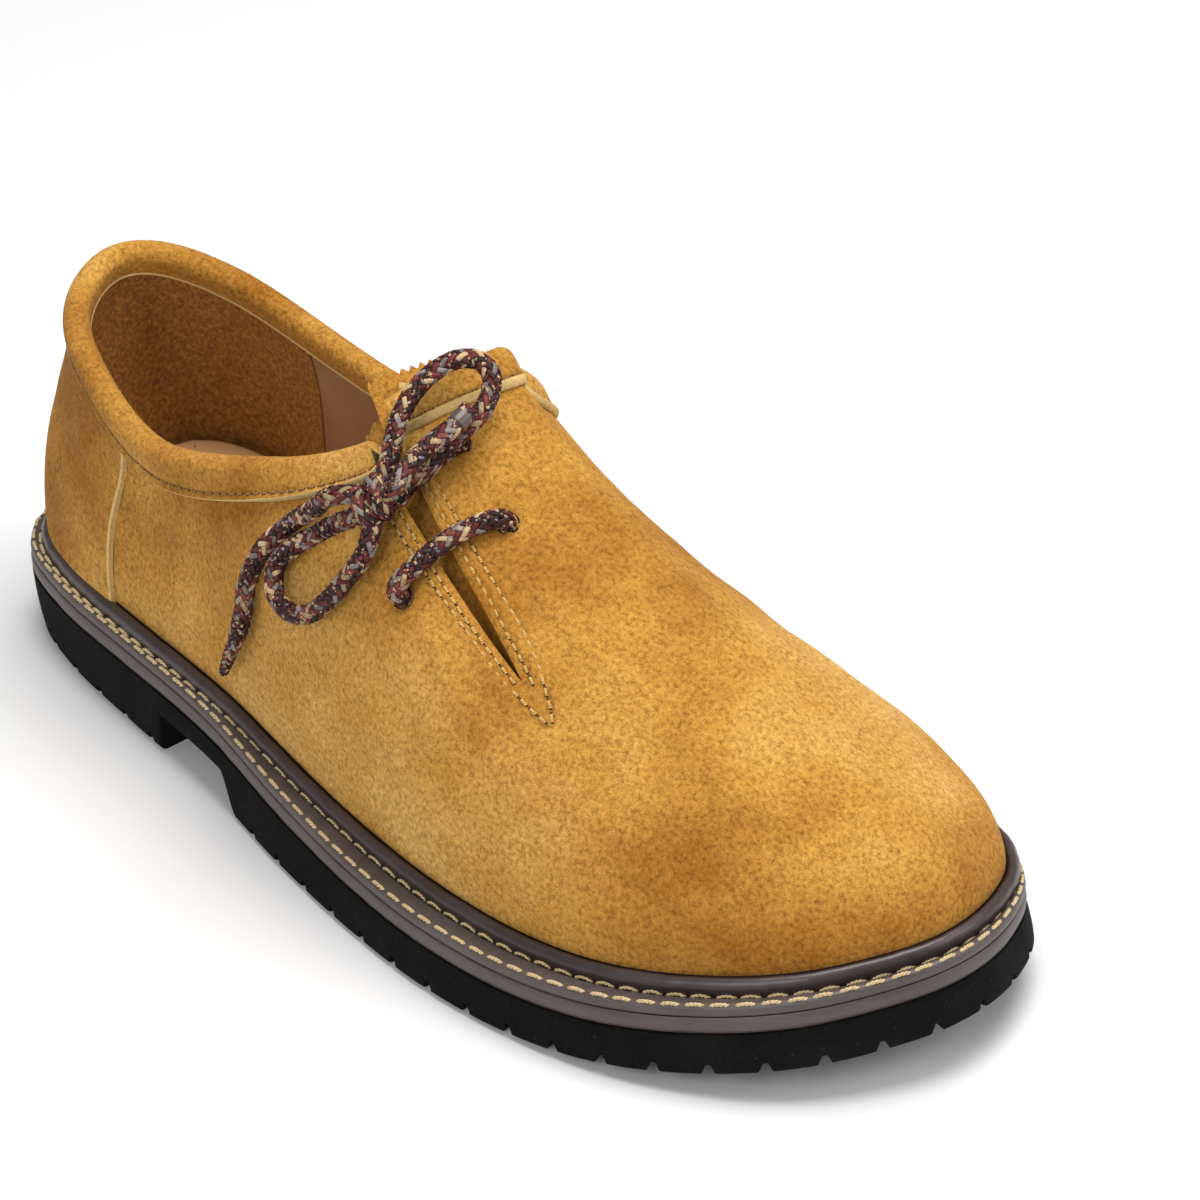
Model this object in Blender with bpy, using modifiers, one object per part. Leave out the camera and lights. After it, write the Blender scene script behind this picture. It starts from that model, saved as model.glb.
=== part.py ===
"""Side-laced suede shoe on a lug sole, right foot.

Metres, +Z up. The toe points along +X and the outer side of the foot along -Y. The origin is on the
floor under the middle of the heel.
"""
import math

import bmesh
import bpy
import numpy as np
from mathutils import Matrix, Vector

# Driving sizes of the shoe
SOLE_LENGTH = 0.2965
BALL_WIDTH = 0.1125
HEEL_HEIGHT = 0.0173
TREAD = 0.0099
TOE_SPRING = 0.0125
INSTEP = 0.112
HEEL_CENTRE = 0.035

# Thickness of each layer, and the gaps between them
MIDSOLE = 0.0042
WELT_LEDGE = 0.0026
BEAD_HEIGHT = 0.0062
BEAD_WIDTH = 0.0042
INSOLE = 0.003
SUEDE = 0.002
COUNTER = 0.0015
BINDING = 0.0014
TONGUE = 0.0017
CLEAR = 0.0003
BINDING_CLEAR = 0.0008
ROOF_CLEAR = 0.0012
CUT_REACH = 0.004

# Sole side
FLARE = 0.0018
HEEL_LEAN = 0.003
TREAD_BEVEL = 0.0012
WELT_SET_IN = 0.0008
WAIST_RISE = 0.0095
BREAST_AT = 0.0775
TREAD_START = 0.106
WAIST_RAMP = 0.007
NOTCH_PITCH = 0.0125
NOTCH_WIDTH = 0.004
NOTCH_HEIGHT = 0.0036
NOTCH_DEPTH = 0.008
MIDSOLE_CROWN = 0.0006
BEAD_SPREAD = 0.0012

# Collar binding, counter, slit, lace
FLANGE = 0.0062
LINING_FLANGE = 0.0042
COLLAR_BEAD = 0.0066
COUNTER_FOOT = 0.0534
COUNTER_TOP = 0.0652
SLIT_END_WAY = 0.847
SLIT_TOP_WAY = 0.797
SLIT_LENGTH_SHARE = 0.405
SLIT_GAPE = 0.0042
SLIT_MOUTH = 0.004
SLIT_END_HALF = 0.0002
COLLAR_SET_BACK = 0.0004
TONGUE_OUTER = 0.011
TONGUE_INNER = 0.030
TONGUE_STAND_OUTER = 0.015
TONGUE_STAND_INNER = 0.008
TONGUE_TOOTH = 0.0014
TONGUE_FOOT_SHARE = 0.62
TONGUE_BELOW_SLIT = 0.03
LACE = 0.0046
HOLE = 0.0058
BAR_ARCH = 0.0008
BAR_SLACK = 0.027
BOW_STEP = 0.0053

# Mesh steps
SIDE_STEPS = 34
RISE_STEPS = 11

# Outline of the midsole edge, as shares of the sole's length and the ball's width.
# along, outer, inner
OUTLINE = (
    (0.000, 0.000, 0.000),
    (0.004, 0.142, 0.148),
    (0.030, 0.258, 0.262),
    (0.108, 0.338, 0.333),
    (0.226, 0.378, 0.330),
    (0.344, 0.408, 0.305),
    (0.456, 0.460, 0.312),
    (0.560, 0.496, 0.372),
    (0.648, 0.512, 0.440),
    (0.732, 0.498, 0.487),
    (0.816, 0.449, 0.500),
    (0.890, 0.356, 0.462),
    (0.951, 0.225, 0.365),
    (0.985, 0.080, 0.235),
    (1.000, -0.075, 0.075),
)

# Upper, a row for each section round the shoe. way runs 0 to 1 along the outer side from heel to
# toe and 1 to 2 back along the inner side. inset, wall_out and crown_out are shares of the ball's
# width, heights are shares of the instep, collar_x of the sole's length and collar_y of the ball.
# way, inset, wall_out, wall_up, collar_x, collar_y, collar_z, crown_run, crown_out, crown_drop
UPPER = (
    (0.000, 0.070, 0.015, 0.30, 0.030, 0.020, 0.785, 0.05, 0.040, 0.17),
    (0.108, 0.050, 0.020, 0.29, 0.105, -0.220, 0.730, 0.00, -0.015, 0.19),
    (0.300, 0.055, 0.040, 0.24, 0.260, -0.300, 0.665, 0.00, -0.015, 0.20),
    (0.450, 0.075, 0.045, 0.24, 0.385, -0.270, 0.770, 0.25, 0.075, 0.14),
    (0.620, 0.085, 0.045, 0.26, 0.465, -0.205, 0.870, 0.51, 0.075, 0.15),
    (0.820, 0.080, 0.065, 0.29, 0.465, -0.160, 0.930, 0.47, 0.025, 0.23),
    (1.000, 0.070, 0.105, 0.29, 0.500, 0.070, 1.010, 0.42, -0.010, 0.36),
    (1.160, 0.045, 0.080, 0.25, 0.475, 0.150, 0.925, 0.42, -0.010, 0.42),
    (1.340, 0.075, 0.035, 0.20, 0.470, 0.230, 0.835, 0.33, 0.035, 0.25),
    (1.530, 0.085, 0.040, 0.22, 0.405, 0.245, 0.725, 0.19, 0.050, 0.20),
    (1.700, 0.080, 0.040, 0.22, 0.305, 0.250, 0.655, 0.00, 0.045, 0.19),
    (1.892, 0.070, 0.030, 0.24, 0.105, 0.210, 0.730, 0.01, 0.045, 0.18),
)

# Lace holes, from the slit: rise on the upper, and the way across from the slit's middle.
# hole, then rise and across
LACE_HOLES = {
    "inner_lower": (0.820, 0.0165),
    "outer_lower": (0.715, -0.0174),
    "inner_upper": (0.930, 0.0147),
    "outer_upper": (0.860, -0.0134),
}

# The bow. The knot lies on the upper bar, and the loops and ends lie against the upper.
KNOT_RISE = 0.870
KNOT_ACROSS = -0.0054
KNOT_SIZE = (0.0110, 0.0106, 0.0076)
LACE_ROUTES = {
    "lace_loop_upper": (
        (0.1517, -0.0265, 0.1057), (0.1480, -0.0212, 0.1098), (0.1461, -0.0146, 0.1146),
        (0.1469, -0.0082, 0.1182), (0.1497, -0.0032, 0.1200), (0.1525, -0.0007, 0.1195),
        (0.1559, -0.0005, 0.1175), (0.1582, -0.0028, 0.1146), (0.1596, -0.0074, 0.1114),
        (0.1593, -0.0114, 0.1092), (0.1589, -0.0156, 0.1073), (0.1588, -0.0208, 0.1048),
    ),
    "lace_loop_lower": (
        (0.1507, -0.0372, 0.0938), (0.1463, -0.0376, 0.0908), (0.1378, -0.0382, 0.0842),
        (0.1317, -0.0405, 0.0788), (0.1280, -0.0426, 0.0731), (0.1294, -0.0443, 0.0683),
        (0.1358, -0.0454, 0.0662), (0.1427, -0.0452, 0.0687), (0.1482, -0.0435, 0.0741),
        (0.1530, -0.0418, 0.0810), (0.1576, -0.0400, 0.0883), (0.1589, -0.0382, 0.0943),
    ),
    "lace_end_long": (
        (0.1484, -0.0395, 0.0995), (0.1390, -0.0387, 0.0917), (0.1284, -0.0382, 0.0828),
        (0.1231, -0.0407, 0.0767), (0.1198, -0.0426, 0.0702), (0.1180, -0.0440, 0.0639),
        (0.1179, -0.0450, 0.0584), (0.1159, -0.0455, 0.0519), (0.1123, -0.0454, 0.0450),
        (0.1079, -0.0449, 0.0372),
    ),
    "lace_end_short": (
        (0.1628, -0.0333, 0.1063), (0.1609, -0.0253, 0.1095), (0.1609, -0.0200, 0.1113),
        (0.1612, -0.0153, 0.1127), (0.1606, -0.0106, 0.1146),
    ),
}

SHOE = bpy.data.collections.new("side_laced_shoe")
CUTTERS = bpy.data.collections.new("cutters")


def clear_scene():
    for thing in list(bpy.data.objects):
        bpy.data.objects.remove(thing, do_unlink=True)
    bpy.context.scene.collection.children.link(SHOE)
    bpy.context.scene.collection.children.link(CUTTERS)


def through(knots, values, at, period=None):
    """Read a smooth curve through the values, which stand at the knots."""
    knots = np.asarray(knots, float)
    values = np.asarray(values, float)
    if period:
        knots = np.concatenate([knots[-2:] - period, knots, knots[:3] + period])
        values = np.concatenate([values[-2:], values, values[:3]])
    slopes = np.gradient(values, knots, axis=0)
    at = np.asarray(at, float)
    left = np.clip(np.searchsorted(knots, at, side="right") - 1, 0, len(knots) - 2)
    step = knots[left + 1] - knots[left]
    s = (at - knots[left]) / step
    if values.ndim > 1:
        step = step[..., None]
        s = s[..., None]
    return ((2 * s**3 - 3 * s**2 + 1) * values[left] + (s**3 - 2 * s**2 + s) * step * slopes[left]
            + (3 * s**2 - 2 * s**3) * values[left + 1] + (s**3 - s**2) * step * slopes[left + 1])


# Outline of the sole, and heights of its layers


def turn_to_along(angle):
    """Share of the sole's length at an angle, 0 at the heel and pi at the toe."""
    return (1 - np.cos(angle)) / 2


def along_to_turn(along):
    return np.arccos(1 - 2 * np.clip(along, 0, 1))


def edge_points(way):
    """Points of the midsole's edge, for ways from 0 to 2 round the shoe."""
    way = np.mod(way, 2)
    inner = way > 1
    along = np.where(inner, 2 - way, way)
    table = np.array(OUTLINE)
    angles = along_to_turn(table[:, 0])
    outer_y = through(angles, -table[:, 1], along_to_turn(along))
    inner_y = through(angles, table[:, 2], along_to_turn(along))
    y = np.where(inner, inner_y, outer_y)
    return np.stack([along * SOLE_LENGTH, y * BALL_WIDTH], axis=-1)


def stations(steps=SIDE_STEPS):
    """Ways round the shoe, closer together at the heel and the toe."""
    angle = np.pi * np.arange(steps + 1) / steps
    one_side = 0.62 * turn_to_along(angle) + 0.38 * angle / np.pi
    return np.concatenate([one_side, 2 - one_side[-2:0:-1]])


def smooth_angle(way):
    """A measure of the way round that runs evenly past the heel and the toe."""
    way = np.asarray(way, float)
    lap = np.floor(way / 2)
    way = way - 2 * lap
    angle = along_to_turn(np.where(way > 1, 2 - way, way))
    return np.where(way > 1, 2 * np.pi - angle, angle) + 2 * np.pi * lap


def way_of_angle(angle):
    angle = np.mod(angle, 2 * np.pi)
    return np.where(angle > np.pi, 2 - turn_to_along(angle), turn_to_along(angle))


def edge_normals(way):
    """Outward direction of the midsole's edge, level with the floor."""
    small = 0.03
    angle = smooth_angle(way)
    ahead = edge_points(way_of_angle(angle + small)) - edge_points(way_of_angle(angle - small))
    normal = np.stack([ahead[..., 1], -ahead[..., 0]], axis=-1)
    return normal / np.linalg.norm(normal, axis=-1, keepdims=True)


def loop(way, inset):
    """Plan of a line that runs inside the midsole's edge."""
    return edge_points(way) - edge_normals(way) * np.reshape(inset, (-1, 1))


def toe_lift(x):
    toe_break = 0.70
    share = np.clip((x / SOLE_LENGTH - toe_break) / (1 - toe_break), 0, 1.1)
    return TOE_SPRING * share**2


def outsole_top(x):
    fall = np.clip((x / SOLE_LENGTH - 0.22) / 0.40, 0, 1)
    return TREAD + (HEEL_HEIGHT - TREAD) * (0.5 + 0.5 * np.cos(np.pi * fall)) + toe_lift(x)


def midsole_top(x):
    return outsole_top(x) + CLEAR + MIDSOLE


def ground(x):
    """Underside of the outsole: heel, raised waist, forefoot and toe spring."""
    into_tread = np.clip((TREAD_START + WAIST_RAMP - x) / WAIST_RAMP, 0, 1)
    waist = WAIST_RISE * (3 * into_tread**2 - 2 * into_tread**3)
    return np.where(x < BREAST_AT, 0, waist) + toe_lift(x)


def tread_inset(x):
    """Inset of the tread's lowest edge: the side leans in at the heel and flares out at the toe."""
    share = np.clip(x / SOLE_LENGTH / 0.6, 0, 1)
    return HEEL_LEAN + (TREAD_BEVEL - FLARE - HEEL_LEAN) * (3 * share**2 - 2 * share**3)


def lifted(plan, height):
    return np.concatenate([plan, np.reshape(height, (-1, 1)) * np.ones((len(plan), 1))], axis=1)


# The upper's own surface


def upper_columns(way):
    """The upper's columns at each way round, read smoothly between its rows."""
    table = np.array(UPPER)
    at = np.mod(smooth_angle(way), 2 * np.pi)
    return through(smooth_angle(table[:, 0]), table[:, 1:], at, period=2 * np.pi).T


def surface(way, rise, out=0.0):
    """A point of the upper's outer face. rise is 0 at the welt and 1 at the top line, and out moves
    the point off the face along its normal."""
    way = np.asarray(way, float)
    rise = np.asarray(rise, float)
    way, rise = np.broadcast_arrays(way, rise)
    shape = way.shape
    way = way.ravel()
    rise = rise.ravel()

    def face(way, rise):
        (inset, wall_out, wall_up, collar_x, collar_y, collar_z,
         crown_run, crown_out, crown_drop) = upper_columns(way)
        foot = loop(way, inset * BALL_WIDTH)
        foot = lifted(foot, midsole_top(foot[:, 0]) + CLEAR)
        out_dir = lifted(edge_normals(way), 0)
        up = np.array([0.0, 0.0, 1.0])
        top = np.stack([collar_x * SOLE_LENGTH, collar_y * BALL_WIDTH, collar_z * INSTEP], axis=1)
        level = (foot - top) * np.array([1.0, 1.0, 0.0])
        wall = foot + out_dir * (wall_out * BALL_WIDTH)[:, None] + up * (wall_up * INSTEP)[:, None]
        crown = (top + level * crown_run[:, None] + out_dir * (crown_out * BALL_WIDTH)[:, None]
                 - up * (crown_drop * INSTEP)[:, None])
        t = rise[:, None]
        return (1 - t)**3 * foot + 3 * (1 - t)**2 * t * wall + 3 * (1 - t) * t**2 * crown + t**3 * top

    points = face(way, rise)
    small = 0.01
    angle = smooth_angle(way)
    along = face(way_of_angle(angle + small), rise) - face(way_of_angle(angle - small), rise)
    upward = face(way, rise + small) - face(way, rise - small)
    normal = np.cross(along, upward)
    normal /= np.linalg.norm(normal, axis=1, keepdims=True)
    points = points + normal * np.reshape(out * np.ones(shape), (-1, 1))
    return points.reshape(shape + (3,))


def rise_at_height(way, height):
    """Rise at which the upper's face is this far above its foot."""
    steps = np.linspace(0, 0.5, 26)
    grid = surface(way[:, None], steps[None, :])
    above = grid[:, :, 2] - grid[:, :1, 2]
    return np.array([np.interp(height, row, steps) for row in above])


def rise_below_top(way, length):
    """Rise of the line that runs this far below the top line, measured over the face."""
    steps = np.linspace(1, 0.4, 31)
    grid = surface(way[:, None], steps[None, :])
    run = np.cumsum(np.linalg.norm(np.diff(grid, axis=1), axis=2), axis=1)
    run = np.concatenate([np.zeros((len(way), 1)), run], axis=1)
    return np.array([np.interp(length, row, steps) for row in run])


def slit_share(rise):
    """0 at the slit's lower end and 1 at the top line."""
    return (rise - 1 + SLIT_LENGTH_SHARE) / SLIT_LENGTH_SHARE


def slit_half(rise):
    """Half the width that the slit gapes at a rise."""
    share = np.clip(slit_share(rise), 0, 1.2)
    return (SLIT_GAPE * (1 - (1 - np.minimum(share, 1))**5) + SLIT_MOUTH * share**6) / 2


def across_slit(rise, across):
    """Way round of the line that runs this far across from the slit's middle, at a rise."""
    rise, across = np.broadcast_arrays(np.asarray(rise, float), np.asarray(across, float))
    ways = np.linspace(0.3, 1.45, 58)
    result = np.empty(rise.shape)
    for index in np.ndindex(rise.shape):
        line = surface(ways, np.full(len(ways), rise[index]))
        run = np.concatenate([[0], np.cumsum(np.linalg.norm(np.diff(line, axis=0), axis=1))])
        middle_way = SLIT_END_WAY + (SLIT_TOP_WAY - SLIT_END_WAY) * slit_share(rise[index])
        middle = np.interp(middle_way, ways, run)
        result[index] = np.interp(middle + across[index], run, ways)
    return result


# Making solids


def material(name, colour, roughness, metallic=0.0):
    made = bpy.data.materials.new(name)
    made.use_nodes = True
    shader = made.node_tree.nodes["Principled BSDF"]
    shader.inputs["Base Color"].default_value = (*colour, 1.0)
    shader.inputs["Roughness"].default_value = roughness
    shader.inputs["Metallic"].default_value = metallic
    return made


def add_object(name, mesh, finish, origin, smooth=True):
    thing = bpy.data.objects.new(name, mesh)
    SHOE.objects.link(thing)
    thing.parent = origin
    mesh.materials.append(finish)
    if smooth:
        mesh.shade_smooth()
        mesh.set_sharp_from_angle(angle=math.radians(35))
    return thing


def mesh_from(name, points, faces):
    mesh = bpy.data.meshes.new(name)
    mesh.from_pydata([tuple(point) for point in points], [], faces)
    shape = bmesh.new()
    shape.from_mesh(mesh)
    bmesh.ops.recalc_face_normals(shape, faces=shape.faces[:])
    shape.to_mesh(mesh)
    shape.free()
    return mesh


def loft(name, sections, ring):
    """Bridge closed sections of equal count. A ring joins the last to the first, and any other loft
    has its end sections capped."""
    sections = np.asarray(sections)
    rows, count = sections.shape[:2]
    faces = []
    for row in range(rows if ring else rows - 1):
        after = (row + 1) % rows
        for k in range(count):
            follow = (k + 1) % count
            faces.append((row * count + k, row * count + follow,
                          after * count + follow, after * count + k))
    if not ring:
        faces.append(tuple(reversed(range(count))))
        faces.append(tuple(range((rows - 1) * count, rows * count)))
    return mesh_from(name, sections.reshape(-1, 3), faces)


def slab(name, loops):
    """A layer of the sole from its loops, lowest first, each starting at the heel's back and running
    round the outer side. Rungs from side to side close its underside and its top."""
    loops = np.asarray(loops)
    rows, count = loops.shape[:2]
    faces = []
    for row in range(rows - 1):
        for k in range(count):
            follow = (k + 1) % count
            faces.append((row * count + k, row * count + follow,
                          (row + 1) * count + follow, (row + 1) * count + k))
    for base, turned in ((0, True), ((rows - 1) * count, False)):
        for k in range(count // 2):
            across = [base + (count - k - 1) % count, base + (count - k) % count]
            rung = list(dict.fromkeys([base + k, base + k + 1] + across))
            faces.append(tuple(reversed(rung)) if turned else tuple(rung))
    return mesh_from(name, loops.reshape(-1, 3), faces)


def patch(name, inner, outer):
    """A sheet with a thickness, from the grids of its two faces."""
    rows, columns = inner.shape[:2]
    border = [(0, j) for j in range(columns)]
    border += [(i, columns - 1) for i in range(1, rows)]
    border += [(rows - 1, j) for j in range(columns - 2, -1, -1)]
    border += [(i, 0) for i in range(rows - 2, 0, -1)]
    faces = []
    for base, turned in ((0, False), (rows * columns, True)):
        for i in range(rows - 1):
            for j in range(columns - 1):
                corner = base + i * columns + j
                face = (corner, corner + 1, corner + columns + 1, corner + columns)
                faces.append(tuple(reversed(face)) if turned else face)
    for k, (i, j) in enumerate(border):
        next_i, next_j = border[(k + 1) % len(border)]
        a = i * columns + j
        b = next_i * columns + next_j
        faces.append((b, a, a + rows * columns, b + rows * columns))
    points = np.concatenate([inner.reshape(-1, 3), outer.reshape(-1, 3)])
    return mesh_from(name, points, faces)


def cut(thing, cutter):
    step = thing.modifiers.new("cut", "BOOLEAN")
    step.operation = "DIFFERENCE"
    step.solver = "EXACT"
    step.object = cutter


def add_cutter(name, mesh, origin):
    cutter = bpy.data.objects.new(name, mesh)
    CUTTERS.objects.link(cutter)
    cutter.parent = origin
    cutter.hide_render = True
    cutter.display_type = "WIRE"
    return cutter


# The pieces


def make_outsole(origin):
    ways = stations()
    breast = BREAST_AT / SOLE_LENGTH
    step = 0.0004
    sharp = [breast - step, breast + step, TREAD_START / SOLE_LENGTH,
             (TREAD_START + WAIST_RAMP / 2) / SOLE_LENGTH, (TREAD_START + WAIST_RAMP) / SOLE_LENGTH]
    one_side = ways[:SIDE_STEPS + 1]
    near = np.min(np.abs(one_side[:, None] - np.array(sharp)[None, :]), axis=1) < 0.012
    one_side = np.sort(np.concatenate([one_side[~near], sharp]))
    ways = np.concatenate([one_side, 2 - one_side[-2:0:-1]])
    along = np.where(ways > 1, 2 - ways, ways) * SOLE_LENGTH
    low = ground(along)
    top = outsole_top(along)
    loops = [
        lifted(loop(ways, tread_inset(along)), low),
        lifted(loop(ways, tread_inset(along) - TREAD_BEVEL), low + TREAD_BEVEL),
        lifted(loop(ways, 0.0), top),
    ]
    rubber = material("black_rubber", (0.013, 0.014, 0.015), 0.62)
    sole = add_object("outsole", slab("outsole", loops), rubber, origin)

    # V-notches between the lugs, round the lower edge
    fine = stations(240)
    fine_along = np.where(fine > 1, 2 - fine, fine) * SOLE_LENGTH
    edge = loop(fine, tread_inset(fine_along))
    edge = np.concatenate([edge, edge[:1]])
    fine_angle = np.concatenate([smooth_angle(fine), [2 * np.pi]])
    run = np.concatenate([[0], np.cumsum(np.linalg.norm(np.diff(edge, axis=0), axis=1))])
    count = round(run[-1] / NOTCH_PITCH)
    notches = bmesh.new()
    for k in range(count):
        way = way_of_angle(np.interp(run[-1] * (k + 0.5) / count, run, fine_angle))
        x = float(np.where(way > 1, 2 - way, way)) * SOLE_LENGTH
        if BREAST_AT - NOTCH_WIDTH < x < TREAD_START + WAIST_RAMP + NOTCH_WIDTH:
            continue
        point = loop(np.array([way]), tread_inset(x))[0]
        out_dir = edge_normals(np.array([way]))[0]
        turn = Matrix.Rotation(math.atan2(out_dir[1], out_dir[0]), 4, "Z")
        place = Matrix.Translation((point[0], point[1], float(ground(np.array(x)))))
        size = Matrix.Diagonal((2 * NOTCH_DEPTH, NOTCH_WIDTH, 2 * NOTCH_HEIGHT, 1))
        tip = Matrix.Rotation(math.pi / 4, 4, "X") @ Matrix.Scale(math.sqrt(0.5), 4)
        bmesh.ops.create_cube(notches, size=1, matrix=place @ turn @ size @ tip)
    mesh = bpy.data.meshes.new("lug_notches")
    notches.to_mesh(mesh)
    notches.free()
    cut(sole, add_cutter("lug_notches", mesh, origin))


def make_midsole(origin):
    ways = stations()
    along = np.where(ways > 1, 2 - ways, ways) * SOLE_LENGTH
    low = outsole_top(along) + CLEAR
    loops = [
        lifted(loop(ways, MIDSOLE_CROWN), low),
        lifted(loop(ways, 0.0), low + MIDSOLE / 2),
        lifted(loop(ways, MIDSOLE_CROWN), low + MIDSOLE),
    ]
    taupe = material("taupe_midsole", (0.115, 0.088, 0.085), 0.5)
    add_object("midsole", slab("midsole", loops), taupe, origin)


def make_welt(origin):
    """Ledge with a rounded bead, its inner face a gap's width off the upper."""
    ways = stations()
    edge = loop(ways, WELT_SET_IN)
    base = midsole_top(edge[:, 0]) + CLEAR
    foot = surface(ways, rise_at_height(ways, 0.0), CLEAR)
    waist = surface(ways, rise_at_height(ways, 0.5 * BEAD_HEIGHT), CLEAR)
    crest = surface(ways, rise_at_height(ways, BEAD_HEIGHT), CLEAR)
    out_dir = lifted(edge_normals(ways), 0)
    floor = midsole_top(foot[:, 0]) + CLEAR
    foot[:, 2] = floor
    step = floor + WELT_LEDGE
    bead_foot = foot + out_dir * (BEAD_WIDTH + BEAD_SPREAD)
    bead_foot[:, 2] = step
    shoulder = crest + out_dir * BEAD_WIDTH * 0.8
    shoulder[:, 2] = crest[:, 2] - 0.3 * BEAD_HEIGHT
    round_top = crest + out_dir * BEAD_WIDTH * 0.4
    round_top[:, 2] = crest[:, 2] + 0.05 * BEAD_HEIGHT
    low_edge = lifted(edge, base)
    top_edge = lifted(edge, base + WELT_LEDGE)
    profile = [foot, low_edge, top_edge, bead_foot, shoulder, round_top, crest, waist]
    dark = material("dark_brown_welt", (0.045, 0.026, 0.024), 0.32)
    add_object("welt", loft("welt", np.stack(profile, axis=1), True), dark, origin)


def make_insole(origin):
    ways = stations()
    inset = upper_columns(ways)[0] * BALL_WIDTH + SUEDE + 2 * CLEAR
    plan = loop(ways, inset)
    low = midsole_top(plan[:, 0]) + CLEAR
    mesh = slab("insole", [lifted(plan, low), lifted(plan, low + INSOLE)])
    add_object("insole", mesh, material("tan_insole", (0.42, 0.20, 0.09), 0.55), origin)


def make_upper(origin):
    ways = stations()
    rises = np.linspace(0, 1, RISE_STEPS + 1)
    grid = surface(ways[None, :], rises[:, None])
    rows, count = grid.shape[:2]
    faces = []
    for i in range(rows - 1):
        for j in range(count):
            follow = (j + 1) % count
            faces.append((i * count + j, i * count + follow,
                          (i + 1) * count + follow, (i + 1) * count + j))
    mesh = bpy.data.meshes.new("upper")
    mesh.from_pydata([tuple(point) for point in grid.reshape(-1, 3)], [], faces)
    upper = add_object("upper", mesh, material("golden_suede", (0.55, 0.28, 0.07), 0.95), origin)
    wall = upper.modifiers.new("wall", "SOLIDIFY")
    wall.thickness = SUEDE
    wall.offset = -1
    wall.use_even_offset = True

    # Slit that narrows to nothing
    sections = []
    for share in (1.15, 1.0, 0.85, 0.7, 0.55, 0.4, 0.25, 0.12, 0.04, 0.0):
        rise = 1 - SLIT_LENGTH_SHARE * (1 - share)
        half = float(slit_half(rise)) + SLIT_END_HALF
        pair = across_slit(np.array([rise, rise]), np.array([-half, half]))
        low = surface(pair, np.array([rise, rise]), -SUEDE - CUT_REACH)
        high = surface(pair, np.array([rise, rise]), CUT_REACH)
        sections.append([low[0], low[1], high[1], high[0]])
    slit = add_cutter("slit_cutter", loft("slit_cutter", sections, False), origin)
    cut(upper, slit)

    holes = bmesh.new()
    for rise, across in LACE_HOLES.values():
        way = across_slit(rise, across)
        base = Vector(surface(way, rise, -SUEDE - CUT_REACH))
        tip = Vector(surface(way, rise, CUT_REACH))
        turn = (tip - base).to_track_quat("Z", "Y").to_matrix().to_4x4()
        bmesh.ops.create_cone(holes, cap_ends=True, segments=12, radius1=HOLE / 2, radius2=HOLE / 2,
                              depth=(tip - base).length,
                              matrix=Matrix.Translation((base + tip) / 2) @ turn)
    mesh = bpy.data.meshes.new("lace_hole_cutter")
    holes.to_mesh(mesh)
    holes.free()
    cut(upper, add_cutter("lace_hole_cutter", mesh, origin))


def collar_ways():
    """Stations of the binding, from the slit's inner side all round to its outer side."""
    half = float(slit_half(1.0)) + COLLAR_SET_BACK
    start = float(across_slit(1.0, half))
    stop = float(across_slit(1.0, -half))
    ways = stations()
    ways = np.sort(np.where(ways <= start, ways + 2, ways))
    ways = ways[(ways > start + 0.008) & (ways < stop + 2 - 0.008)]
    return np.concatenate([[start], ways, [stop + 2]])


def make_collar(origin):
    """Binding folded over the top line: a flange outside, a round bead, and a flange inside."""
    ways = collar_ways()
    flat_ways = np.mod(ways, 2)
    gap = BINDING_CLEAR
    inside = SUEDE + gap
    hem = rise_below_top(flat_ways, FLANGE)
    half_way = rise_below_top(flat_ways, 0.5 * FLANGE)
    lining_hem = rise_below_top(flat_ways, LINING_FLANGE)
    top = surface(flat_ways, 1.0)
    level = surface(flat_ways, 1.0, 1.0) - top
    up = np.cross(level, np.roll(top, -1, axis=0) - np.roll(top, 1, axis=0))
    up[0] = np.cross(level[0], top[1] - top[0])
    up[-1] = np.cross(level[-1], top[-1] - top[-2])
    up /= np.linalg.norm(up, axis=1, keepdims=True)
    up *= np.sign(up[:, 2:3])
    middle = top - level * (SUEDE / 2)
    bead = COLLAR_BEAD / 2

    def over(angle, radius):
        """Point of the bead, at an angle from outside over the top."""
        return middle + radius * (level * math.cos(angle) + up * (math.sin(angle) + 0.35))

    hollow = SUEDE / 2 + gap
    profile = [
        surface(flat_ways, hem, gap),
        surface(flat_ways, hem, gap + BINDING),
        surface(flat_ways, half_way, gap + BINDING),
        over(math.radians(-5), bead),
        over(math.radians(50), bead),
        over(math.radians(90), bead),
        over(math.radians(130), bead),
        over(math.radians(185), bead),
        surface(flat_ways, lining_hem, -inside - BINDING),
        surface(flat_ways, lining_hem, -inside),
        middle - level * hollow + up * ROOF_CLEAR,
        middle + level * hollow + up * ROOF_CLEAR,
        surface(flat_ways, half_way, gap),
    ]
    sections = np.stack(profile, axis=1)
    finish = material("suede_binding", (0.56, 0.29, 0.08), 0.95)
    add_object("collar", loft("collar", sections, False), finish, origin)


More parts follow.
